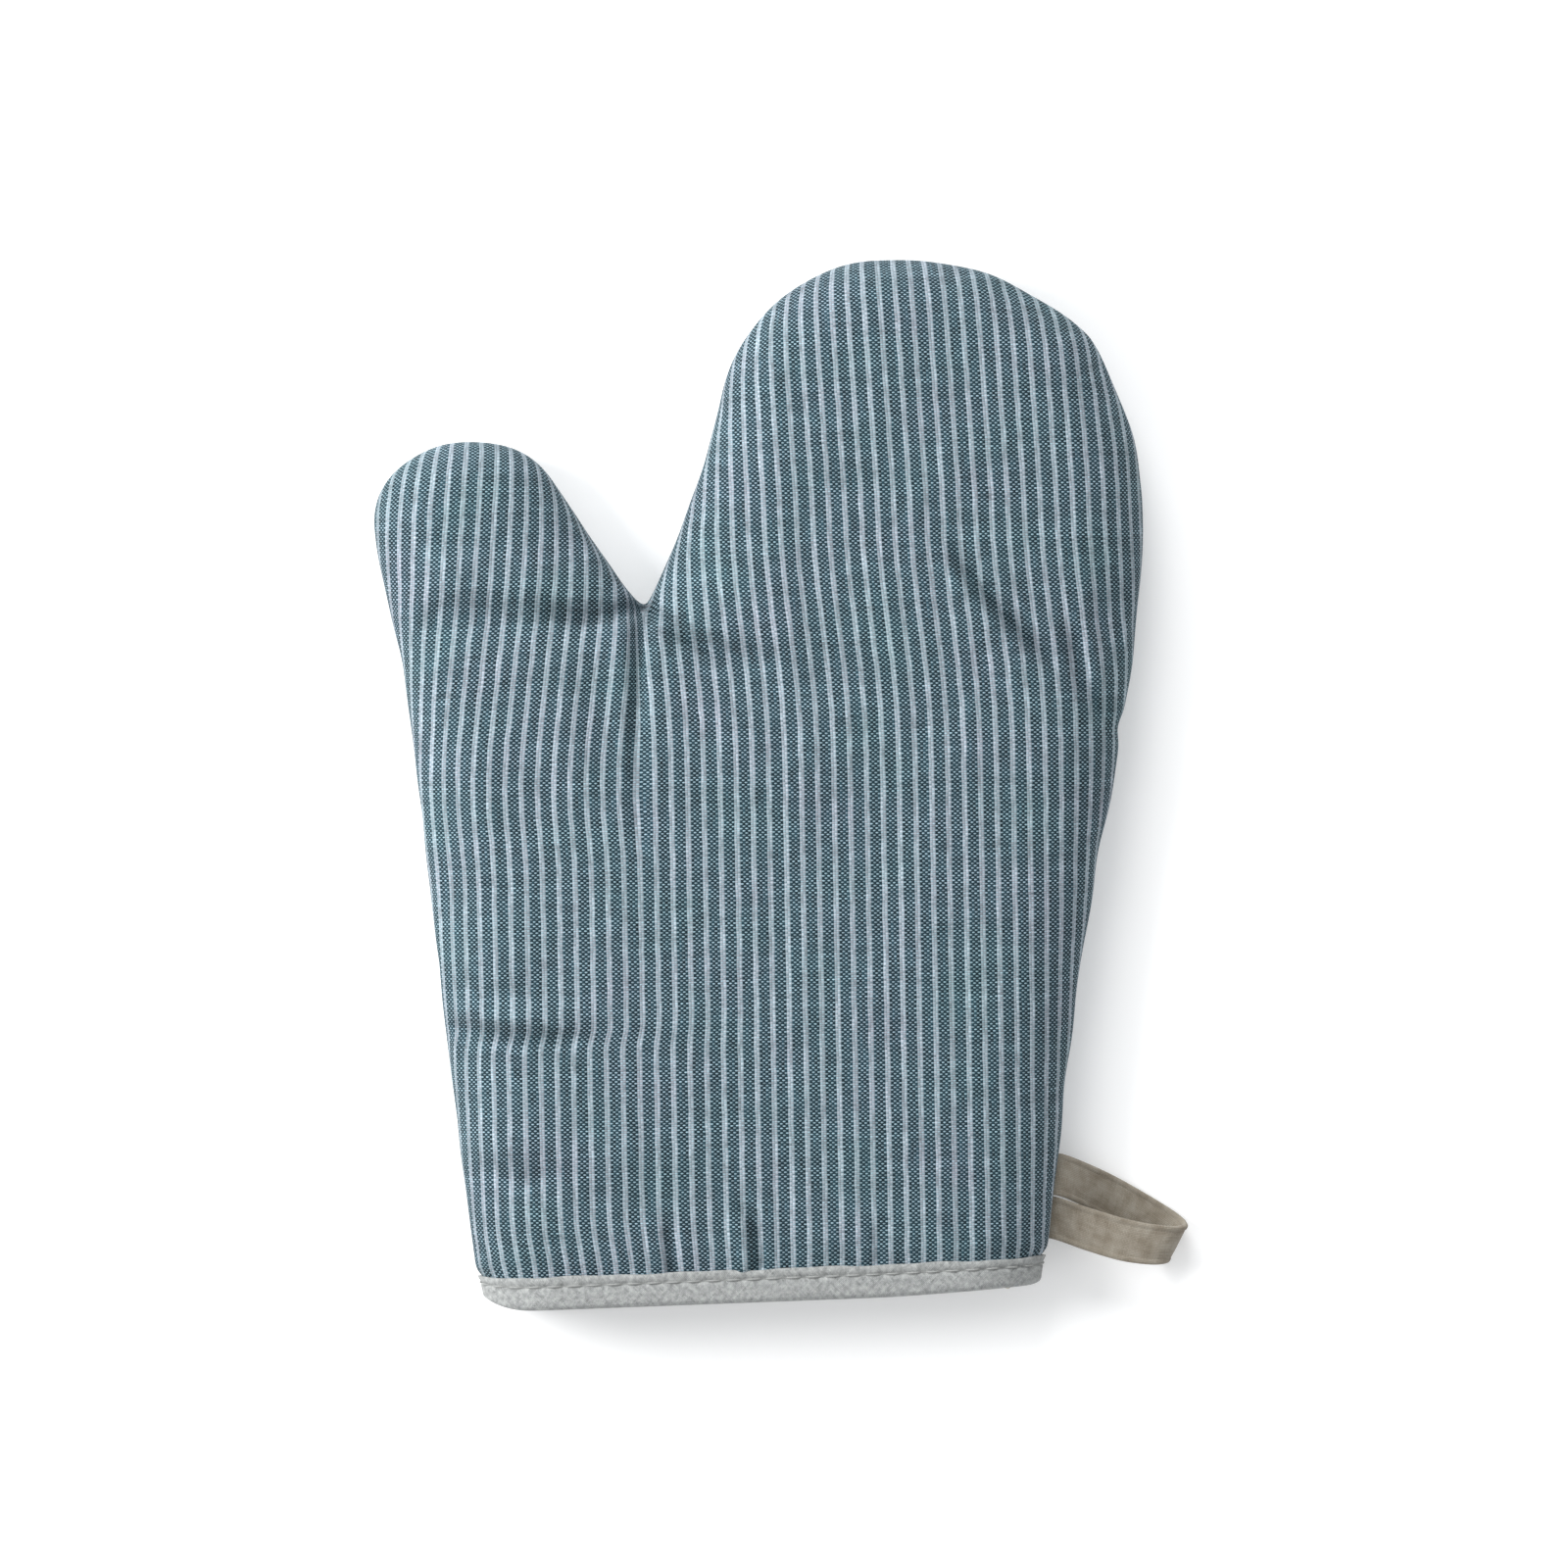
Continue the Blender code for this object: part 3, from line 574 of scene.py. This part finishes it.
def new_material(name, roughness):
    material = bpy.data.materials.new(name)
    material.use_nodes = True
    shader = material.node_tree.nodes["Principled BSDF"]
    shader.inputs["Roughness"].default_value = roughness
    shader.inputs["Specular IOR Level"].default_value = 0.25
    shader.inputs["Sheen Weight"].default_value = 0.15
    shader.inputs["Sheen Roughness"].default_value = 0.5
    return material, material.node_tree, shader.inputs


def raised(tree, inputs, height, distance, strength=1.0):
    """Bump from a height."""
    bump = add_node(tree, "Bump", Height=height, Distance=distance, Strength=strength)
    tree.links.new(bump.outputs[0], inputs["Normal"])


stripe_blue = (0.0045, 0.0150, 0.0225)
stripe_blue_faded = (0.0160, 0.0410, 0.0540)
stripe_white = (0.268, 0.303, 0.334)
weft_white = (0.190, 0.268, 0.302)


def striped_cotton():
    material, tree, inputs = new_material("striped cotton", 0.88)
    place = add_node(tree, "UVMap", uv_map="cloth").outputs[0]
    cloth = weave_in(tree, place, 0.00069, 0.000585, 0.62)
    repeat = calc(tree, "FRACT", calc(tree, "DIVIDE", calc(tree, "ADD", cloth["Warp Number"], 1.0), 6.0))
    white = calc(tree, "LESS_THAN", repeat, 0.3)
    blue = blended(tree, cloth["Slub"], stripe_blue, stripe_blue_faded)
    warp_colour = blended(tree, white, blue, stripe_white)
    colour = blended(tree, cloth["Warp On Top"], weft_white, warp_colour)
    # The yarns' tone and slubs are their own colour. The third factor is painted shade: the colour is darkened in
    # the weave's hollows, where the yarns lie low.
    tone = calc(tree, "MULTIPLY_ADD", cloth["Yarn Tone"], 0.30, 0.85)
    slub = calc(tree, "MULTIPLY_ADD", cloth["Slub"], 1.70, 0.16)
    shade_in_hollows = calc(tree, "MULTIPLY_ADD", cloth["Height"], 0.55, 0.55)
    colour = shaded(tree, colour, calc(tree, "MULTIPLY", calc(tree, "MULTIPLY", tone, slub), shade_in_hollows))
    drift = add_node(tree, "TexNoise", Vector=place, Scale=45.0, Detail=4.0).outputs["Fac"]
    colour = blended(tree, drift, blended(tree, 1.0, colour, (0.80, 1.0, 0.94), "MULTIPLY"),
                     blended(tree, 1.0, colour, (1.18, 1.0, 1.09), "MULTIPLY"))
    tree.links.new(colour, inputs["Base Color"])
    inputs["Sheen Weight"].default_value = 0.06
    inputs["Specular IOR Level"].default_value = 0.15
    raised(tree, inputs, cloth["Height"], 0.00022, 0.8)
    return material


cotton = striped_cotton()
for name, side in (("palm_cotton", 0), ("back_cotton", 1)):
    panel = half_of(fine, name, side)
    panel.data.materials.append(cotton)
    as_wall(panel, cloth_thickness)
    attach(panel, "mitt")
    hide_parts("palm_shell" if side == 0 else "back_shell")

# ------------------------------------------------------------------ the wadding
# A layer of white needled batting, 4 mm thick, backs each panel and gives the mitt its body. It is cut to
# the panel's outline and its edges are trimmed back from the seam.

wadding_depth, wadding_thickness = 0.0011, 0.0040


def inner_ply(name, side, gap, rounds):
    """A softer copy of one half of the bag, with its seam edge kept this far from the other half's."""
    ply = half_of(bag.data, name, side)
    bm = bmesh.new()
    bm.from_mesh(ply.data)
    free = [v for v in bm.verts if not v.is_boundary]
    cover = [v.co.z for v in free]
    for _ in range(rounds):
        bmesh.ops.smooth_vert(bm, verts=free, factor=0.5, use_axis_x=True, use_axis_y=True, use_axis_z=True)
    for vert, z in zip(free, cover):
        vert.co.z = min(vert.co.z, z) if side == 0 else max(vert.co.z, z)
    for vert in bm.verts:
        to_crotch = (vert.co.xy - crotch - Vector((0.0, wrist_y))).length
        vert.co.y -= 0.8 * max(0.0, 0.0065 - to_crotch)
        if side == 0:
            vert.co.z = max(vert.co.z, seam_z + gap)
        else:
            vert.co.z = min(vert.co.z, seam_z - gap)
    bm.to_mesh(ply.data)
    bm.free()
    return ply


def batting():
    material, tree, inputs = new_material("white batting", 1.0)
    place = add_node(tree, "TexCoord").outputs["Object"]
    tufts = add_node(tree, "TexNoise", Vector=place, Scale=420.0, Detail=6.0, Roughness=0.7).outputs["Fac"]
    fibres = add_node(tree, "TexNoise", Vector=place, Scale=2600.0, Detail=2.0).outputs["Fac"]
    nap = calc(tree, "MULTIPLY_ADD", fibres, 0.35, tufts)
    tree.links.new(blended(tree, nap, (0.66, 0.65, 0.61), (0.88, 0.87, 0.84)), inputs["Base Color"])
    raised(tree, inputs, nap, 0.0006)
    return material


fluff = batting()
for name, side in (("palm_batting", 0), ("back_batting", 1)):
    ply = inner_ply(name, side, 0.0008, 2)
    ply.data.materials.append(fluff)
    as_wall(ply, wadding_thickness, wadding_depth)
    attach(ply, "mitt")
    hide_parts("palm_wadding" if side == 0 else "back_wadding")

# ------------------------------------------------------------------ the lining
# An inner bag of thin unbleached cotton lies against the wadding. It is sewn on its own, with its seam
# facing the wadding, and is held only at the wrist, so it lies in soft creases.

lining_depth = wadding_depth + wadding_thickness + 0.0003
lining_thickness = 0.0005


def unbleached_cotton():
    material, tree, inputs = new_material("unbleached cotton", 0.92)
    place = add_node(tree, "UVMap", uv_map="cloth").outputs[0]
    cloth = weave_in(tree, place, 0.00042, 0.00040)
    tone = calc(tree, "MULTIPLY_ADD", cloth["Slub"], 0.7, calc(tree, "MULTIPLY", cloth["Yarn Tone"], 0.3))
    colour = blended(tree, tone, (0.47, 0.43, 0.36), (0.78, 0.74, 0.66))
    # Painted shade: the colour is darkened in the weave's hollows, where the yarns lie low.
    hollow_shade = calc(tree, "MULTIPLY_ADD", cloth["Height"], 0.5, 0.55)
    tree.links.new(shaded(tree, colour, hollow_shade), inputs["Base Color"])
    raised(tree, inputs, cloth["Height"], 0.00014, 0.8)
    return material


plain_cotton = unbleached_cotton()
for name, side in (("palm_inner_bag", 0), ("back_inner_bag", 1)):
    ply = inner_ply(name, side, 0.00015, 4)
    ply.data.materials.append(plain_cotton)
    as_wall(ply, lining_thickness, lining_depth)
    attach(ply, "mitt")
    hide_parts("palm_lining" if side == 0 else "back_lining")
bpy.data.objects.remove(bag)

# ------------------------------------------------------------------ the wrist binding
# Pale grey cotton tape is folded over the raw edges of all six plies round the wrist. Its own edges are
# turned under, and one row of stitches goes through both of its legs and everything between them.

tape_thickness = 0.0007
tape_width = 0.0083
stitch_line = tape_width - 0.0022
stitch_pitch = 0.0050
stack = lining_depth + lining_thickness


def wrist_ring(count):
    """Points round the wrist at even spacing: which panel, how far across it, and the way out from it."""
    samples, level = 1500, 0.004
    across = (1 - np.cos(np.linspace(0, math.pi, samples))) / 2
    left, right = seam[-1], seam[0]
    middle = np.stack([left[0] + (right[0] - left[0]) * across, np.full(samples, level)], axis=1)
    near, _, _ = from_seam(middle)
    near[[0, -1]] = 0.0
    up, down = puffed(middle, near)
    over_palm = np.stack([middle[:, 0], up], axis=1)
    under_back = np.stack([middle[::-1, 0], -down[::-1]], axis=1)[1:]
    line = np.concatenate([over_palm, under_back])
    shares = np.concatenate([across, across[::-1][1:]])
    run = run_of(line)
    stops = np.linspace(0, run[-1], count, endpoint=False)
    share = np.interp(stops, run, shares)
    on_back = stops > run[samples - 1]
    spot = np.stack([np.interp(stops, run, line[:, i]) for i in (0, 1)], axis=1)
    along = np.roll(spot, -1, axis=0) - np.roll(spot, 1, axis=0)
    out = np.stack([-along[:, 1], along[:, 0]], axis=1)
    return share, on_back, out / np.linalg.norm(out, axis=1)[:, None], stops, run[-1]


ring_steps = 528
ring_share, ring_back, ring_out, ring_stops, ring_length = wrist_ring(ring_steps)
stitch_count = round(ring_length / stitch_pitch)
right_side, left_side = seam[: len(seam) // 4], seam[-(len(seam) // 4) :][::-1]


def on_wrist(y, out):
    """Points round the wrist at this height above its edge, this far out from the mitt's surface."""
    level = max(y, 0.0)
    left = np.interp(level, left_side[:, 1], left_side[:, 0])
    right = np.interp(level, right_side[:, 1], right_side[:, 0])
    places = np.stack([left + (right - left) * ring_share, np.full(ring_steps, level)], axis=1)
    near, _, _ = from_seam(places)
    near[near < 2e-5] = 0.0
    up, down = puffed(places, near)
    z = seam_z + np.where(ring_back, -down, up)
    curled = y + wrist_curl(places[:, 0], np.full(ring_steps, y))
    return np.stack([places[:, 0] + ring_out[:, 0] * out, wrist_y + curled, z + ring_out[:, 1] * out], axis=1)


def mapped_grid(name, placed, cloth_places):
    """Faces between the given rows and columns of points, closed where the ends meet, with a cloth UV map."""
    rows, columns = placed.shape[0], placed.shape[1]
    bm = bmesh.new()
    bmesh.ops.create_grid(bm, x_segments=columns - 1, y_segments=rows - 1, size=0.5)
    cloth = bm.loops.layers.uv.new("cloth")
    for face in bm.faces:
        face.smooth = True
        for loop in face.loops:
            i, j = round((loop.vert.co.y + 0.5) * (rows - 1)), round((loop.vert.co.x + 0.5) * (columns - 1))
            loop[cloth].uv = cloth_places[i, j]
    for vert in bm.verts:
        i, j = round((vert.co.y + 0.5) * (rows - 1)), round((vert.co.x + 0.5) * (columns - 1))
        vert.co = placed[i, j]
    bmesh.ops.remove_doubles(bm, verts=bm.verts, dist=1e-7)
    bmesh.ops.recalc_face_normals(bm, faces=bm.faces)
    mesh = bpy.data.meshes.new(name)
    bm.to_mesh(mesh)
    bm.free()
    made = bpy.data.objects.new(name, mesh)
    bpy.context.scene.collection.objects.link(made)
    return made


def binding_rows():
    """The tape's section from the top of its outer leg, round the fold, to the top of its inner leg."""
    leg = [(tape_width, 0.30), (tape_width - 0.00012, 0.46), (tape_width - 0.0004, 0.60)]
    leg += [(tape_width - 0.0010, 0.62)]
    leg += [(stitch_line + 0.0006, 0.50), (stitch_line, 0.40), (stitch_line - 0.0006, 0.50)]
    leg += [(y, 0.60) for y in (0.0051, 0.0044, 0.0037, 0.0030, 0.0023, 0.0016)]
    leg = [(y, out * 0.001) for y, out in leg]
    half = (stack + 0.0012) / 2
    fold = []
    for angle in np.linspace(0, math.pi, 17)[1:-1]:
        drop = 0.0013 * abs(math.sin(angle)) ** (2 / 2.6)
        out = half * abs(math.cos(angle)) ** (2 / 2.6) * (1 if math.cos(angle) > 0 else -1)
        fold.append((0.0016 - drop, out - stack / 2))
    inner = [(y, -stack - out) for y, out in reversed(leg)]
    return leg + fold + inner


section = binding_rows()
stitch_turn = np.cos(2 * math.pi * stitch_count * ring_stops / ring_length)  # 1 on a stitch, -1 between two
placed = []
for y, out in section:
    row = on_wrist(y, out)
    outward = np.sign(out + stack / 2)
    pinch = 0.00062 * np.exp(-(((y - stitch_line) / 0.0005) ** 2)) * (0.15 + 0.85 * ease(0.4 - stitch_turn))
    row[:, 0] -= ring_out[:, 0] * pinch * outward
    row[:, 2] -= ring_out[:, 1] * pinch * outward
    ripple = 0.00010 * np.sin(ring_stops / 0.0021) + 0.00014 * np.sin(ring_stops / 0.0047 + 1)
    row[:, 1] += ripple * ease((y - 0.006) / 0.002)
    placed.append(row)
placed = np.array(placed)
placed = np.concatenate([placed, placed[:, :1]], axis=1)
section_run = run_of(np.array(section))
cloth_places = np.stack(np.meshgrid(np.append(ring_stops, ring_length), section_run), axis=2)
binding = mapped_grid("binding_tape_ring", placed, cloth_places)


def grey_tape():
    material, tree, inputs = new_material("pale grey tape", 0.9)
    place = add_node(tree, "UVMap", uv_map="cloth").outputs[0]
    bias = add_node(tree, "Mapping", Vector=place, Rotation=(0.0, 0.0, math.radians(45))).outputs[0]
    cloth = weave_in(tree, bias, 0.00034, 0.00034)
    blotch = add_node(tree, "TexNoise", Vector=place, Scale=800.0, Detail=4.0).outputs["Fac"]
    tone = calc(tree, "MULTIPLY_ADD", cloth["Slub"], 0.9, calc(tree, "MULTIPLY_ADD", blotch, 1.5, -0.7))
    colour = blended(tree, tone, (0.150, 0.158, 0.157), (0.460, 0.472, 0.464))
    # Painted shade: the colour is darkened in the weave's hollows, where the yarns lie low.
    hollow_shade = calc(tree, "MULTIPLY_ADD", cloth["Height"], 0.45, 0.60)
    tree.links.new(shaded(tree, colour, hollow_shade), inputs["Base Color"])
    raised(tree, inputs, calc(tree, "MULTIPLY_ADD", blotch, 0.8, cloth["Height"]), 0.00016, 0.8)
    return material


tape = grey_tape()
binding.data.materials.append(tape)
wall = binding.modifiers.new("thickness", "SOLIDIFY")
wall.thickness, wall.offset = tape_thickness, 0.0
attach(binding, "mitt")
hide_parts("wrist_binding")

# ------------------------------------------------------------------ the threads
# All threads are grey spun polyester. The needle thread shows as a row of short stitches on the tape and
# the bobbin thread as the same row inside. Two more threads close the side seams, hidden between the plies.

thread_width = 0.0005


def spun_thread():
    material, tree, inputs = new_material("grey thread", 0.6)
    place = add_node(tree, "TexCoord").outputs["Object"]
    ply = add_node(tree, "TexNoise", Vector=place, Scale=3200.0, Detail=2.0).outputs["Fac"]
    tree.links.new(blended(tree, ply, (0.17, 0.175, 0.17), (0.36, 0.37, 0.36)), inputs["Base Color"])
    raised(tree, inputs, ply, 0.00008)
    return material


def laid_thread(name, points, closed, node):
    curve = bpy.data.curves.new(name, "CURVE")
    curve.dimensions = "3D"
    curve.bevel_depth = thread_width / 2
    curve.bevel_resolution = 1
    curve.use_fill_caps = not closed
    line = curve.splines.new("POLY")
    line.points.add(len(points) - 1)
    for spot, point in zip(line.points, points):
        spot.co = (*point, 1.0)
    line.use_cyclic_u = closed
    curve.materials.append(spun)
    thread = bpy.data.objects.new(name, curve)
    bpy.context.scene.collection.objects.link(thread)
    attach(thread, "mitt")
    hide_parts(node)


spun = spun_thread()
tape_face = 0.00075
lie = 0.00042 * np.tanh(3.2 * (stitch_turn + 0.12)) - 0.00020  # on top of the tape, then down into it
for name, out, base, node in (("needle_thread", 1, tape_face, "binding_topstitch"),
                              ("bobbin_thread", -1, -stack - tape_face, "binding_bobbin_thread")):
    points = on_wrist(stitch_line, 0.0)
    points[:, 0] += ring_out[:, 0] * (base + out * lie)
    points[:, 2] += ring_out[:, 1] * (base + out * lie)
    laid_thread(name, points, True, node)

point_gap, seam_stitch = 0.0006, 0.0026
fine_seam = spaced(seam, point_gap)
way = np.gradient(fine_seam, axis=0)
way /= np.linalg.norm(way, axis=1)[:, None]
inwards = np.stack([-way[:, 1], way[:, 0]], axis=1)
for name, depth, node in (("side_seam_thread", 0.0016, "shell_seam_thread"),
                          ("lining_seam_stitches", 0.0041, "lining_seam_thread")):
    line = fine_seam + inwards * depth
    line = line[line[:, 1] > tape_width + 0.0012]
    wave = seam_z + 0.00022 * np.sin(2 * math.pi * np.arange(len(line)) * point_gap / seam_stitch)
    laid_thread(name, np.stack([line[:, 0], line[:, 1] + wrist_y, wave], axis=1), False, node)

# ------------------------------------------------------------------ the hanging loop
# A length of greige cotton tape with folded edges is doubled, and both of its ends are caught in the side
# seam. It lies folded over on the table. It bends where it leaves the seam, so it joins both bodies.

loop_joint = frame["joints"][0]
hinge = np.array(loop_joint["pos_m"])
seam_wise = np.array(loop_joint["axis"])
outwards = np.array([seam_wise[1], -seam_wise[0], 0.0])
loop_width = 0.0108
loop_reach = 0.0315
table_drop = -(seam_z - 0.0013)


def loop_line(count):
    """The middle of the tape, from one end inside the seam, round the crown, to the other end."""
    end = loop_width / 2 + 0.0002
    knots = np.array([
        (-0.0060, -end, 0.0),
        (-0.0042, -end, 0.0),
        (0.0, -end, 0.0),
        (0.28 * loop_reach, -1.35 * end, 0.03 * table_drop),
        (0.58 * loop_reach, -1.65 * end, 0.06 * table_drop),
        (0.85 * loop_reach, -1.72 * end, 0.17 * table_drop),
        (0.985 * loop_reach, -1.62 * end, 0.42 * table_drop),
        (loop_reach, -1.45 * end, 0.70 * table_drop),
        (0.93 * loop_reach, -1.14 * end, 0.93 * table_drop),
        (0.72 * loop_reach, -0.55 * end, 0.98 * table_drop),
        (0.42 * loop_reach, 0.20 * end, 0.85 * table_drop),
        (0.18 * loop_reach, 0.70 * end, 0.42 * table_drop),
        (0.0, end, 0.0),
        (-0.0042, end, 0.0),
        (-0.0060, end, 0.0),
    ])
    line, place = [], []
    for i in range(1, len(knots) - 2):
        before, here, there, after = knots[i - 1 : i + 3]
        for t in np.linspace(0, 1, 24, endpoint=False):
            line.append(0.5 * (2 * here + (there - before) * t + (2 * before - 5 * here + 4 * there - after) * t**2
                               + (3 * here - before - 3 * there + after) * t**3))
            place.append(np.clip((i + t - 2) / (len(knots) - 5), 0, 1))
    line, place = np.array(line), np.array(place)
    run = run_of(line)
    stops = np.linspace(0, run[-1], count)
    line = np.stack([np.interp(stops, run, line[:, i]) for i in range(3)], axis=1)
    return line, np.interp(stops, run, place), stops


line, place, stops = loop_line(150)
skew = math.radians(22) * np.sin(math.pi * place) ** 1.5
across = np.stack([np.sin(skew), np.cos(skew), np.zeros(len(skew))], axis=1)
along = np.gradient(line, axis=0)
thick = np.cross(along, across)
thick /= np.linalg.norm(thick, axis=1)[:, None]
half_section = [(-1, 0.0), (-0.992, 0.30), (-0.97, 0.52), (-0.93, 0.66), (-0.86, 0.70), (-0.79, 0.66)]
half_section += [(-0.74, 0.50), (-0.70, 0.46), (-0.62, 0.52), (-0.40, 0.55), (-0.15, 0.56)]
half_section += [(-v, h) for v, h in reversed(half_section)]
tape_section = half_section + [(v, -h) for v, h in reversed(half_section)][1:]
girth = run_of(np.array(tape_section) * (loop_width / 2, 0.001))
placed, cloth_places = [], []
for (v, h), around in zip(tape_section, girth):
    placed.append(line + across * v * loop_width / 2 + thick * h * 0.001)
    cloth_places.append(np.stack([stops, np.full(len(stops), around)], axis=1))
placed, cloth_places = np.array(placed), np.array(cloth_places)
unevenness = [0.00010 * noise.noise(point / 0.004) for point in placed.reshape(-1, 3)]
placed += thick[None] * np.array(unevenness).reshape(placed.shape[:2])[:, :, None]
placed = hinge + placed[..., :1] * outwards + placed[..., 1:2] * seam_wise + placed[..., 2:] * np.array([0, 0, 1.0])
loop = mapped_grid("hanging_tape", placed, cloth_places)
bm = bmesh.new()
bm.from_mesh(loop.data)
bmesh.ops.holes_fill(bm, edges=[e for e in bm.edges if e.is_boundary], sides=0)
bmesh.ops.recalc_face_normals(bm, faces=bm.faces)
bm.to_mesh(loop.data)
bm.free()


def greige_tape():
    material, tree, inputs = new_material("greige tape", 0.92)
    place = add_node(tree, "UVMap", uv_map="cloth").outputs[0]
    cloth = weave_in(tree, place, 0.00036, 0.00042)
    worn = add_node(tree, "TexNoise", Vector=place, Scale=260.0, Detail=4.0).outputs["Fac"]
    tone = calc(tree, "MULTIPLY_ADD", cloth["Slub"], 0.7, calc(tree, "MULTIPLY_ADD", worn, 1.3, -0.5))
    colour = blended(tree, tone, (0.160, 0.126, 0.086), (0.375, 0.345, 0.288))
    # Painted shade: the colour is darkened in the weave's hollows, where the yarns lie low.
    hollow_shade = calc(tree, "MULTIPLY_ADD", cloth["Height"], 0.5, 0.58)
    tree.links.new(shaded(tree, colour, hollow_shade), inputs["Base Color"])
    raised(tree, inputs, calc(tree, "MULTIPLY_ADD", worn, 0.8, cloth["Height"]), 0.00018, 0.8)
    return material


loop.data.materials.append(greige_tape())
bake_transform(loop)
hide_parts("hanging_loop", "loop_tail_lower", "loop_tail_upper")

# ------------------------------------------------------------------ table, lamps and camera
# The mitt lies on a white table that glows a little. One soft lamp stands near its left side and one beyond
# its fingertips, and the rest of the light comes from a pale room. The camera looks straight down.

table = bmesh.new()
bmesh.ops.create_grid(table, x_segments=1, y_segments=1, size=3.0)
table_mesh = bpy.data.meshes.new("table")
table.to_mesh(table_mesh)
table.free()
table_top = bpy.data.objects.new("table", table_mesh)
bpy.context.scene.collection.objects.link(table_top)
white_top, tree, inputs = new_material("white table", 0.9)
inputs["Base Color"].default_value = (0.88, 0.88, 0.88, 1.0)
inputs["Sheen Weight"].default_value = 0.0
# The glow is painted light: it keeps the mitt's shadows on the table pale and lights the mitt's lower sides from
# below.
inputs["Emission Color"].default_value = (1.0, 1.0, 1.0, 1.0)
inputs["Emission Strength"].default_value = 0.20
table_mesh.materials.append(white_top)

room = bpy.data.worlds.new("pale room")
room.use_nodes = True
room.node_tree.nodes["Background"].inputs["Color"].default_value = (0.97, 0.985, 1.0, 1.0)
room.node_tree.nodes["Background"].inputs["Strength"].default_value = 0.72
bpy.context.scene.world = room


def soft_lamp(name, place, towards, size, watts):
    light = bpy.data.lights.new(name, "AREA")
    light.shape = "DISK"
    light.size = size
    light.energy = watts
    lamp = bpy.data.objects.new(name, light)
    lamp.location = place
    lamp.rotation_euler = (Vector(towards) - Vector(place)).to_track_quat("-Z", "Y").to_euler()
    bpy.context.scene.collection.objects.link(lamp)


soft_lamp("left lamp", (-0.64, 0.18, 0.50), (0, 0, 0), 0.42, 6.9)
soft_lamp("far lamp", (-0.35, 1.90, 1.20), (0, 0, 0), 1.2, 32.0)

lens = bpy.data.cameras.new("camera")
lens.lens = 179.2
lens.sensor_width = 36.0
camera = bpy.data.objects.new("camera", lens)
camera.location = (0.0106, 0.0237, 2.012)
camera.rotation_euler = (0.0, 0.0, math.radians(-2.2))
bpy.context.scene.collection.objects.link(camera)
bpy.context.scene.camera = camera
bpy.context.scene.view_settings.view_transform = "Standard"
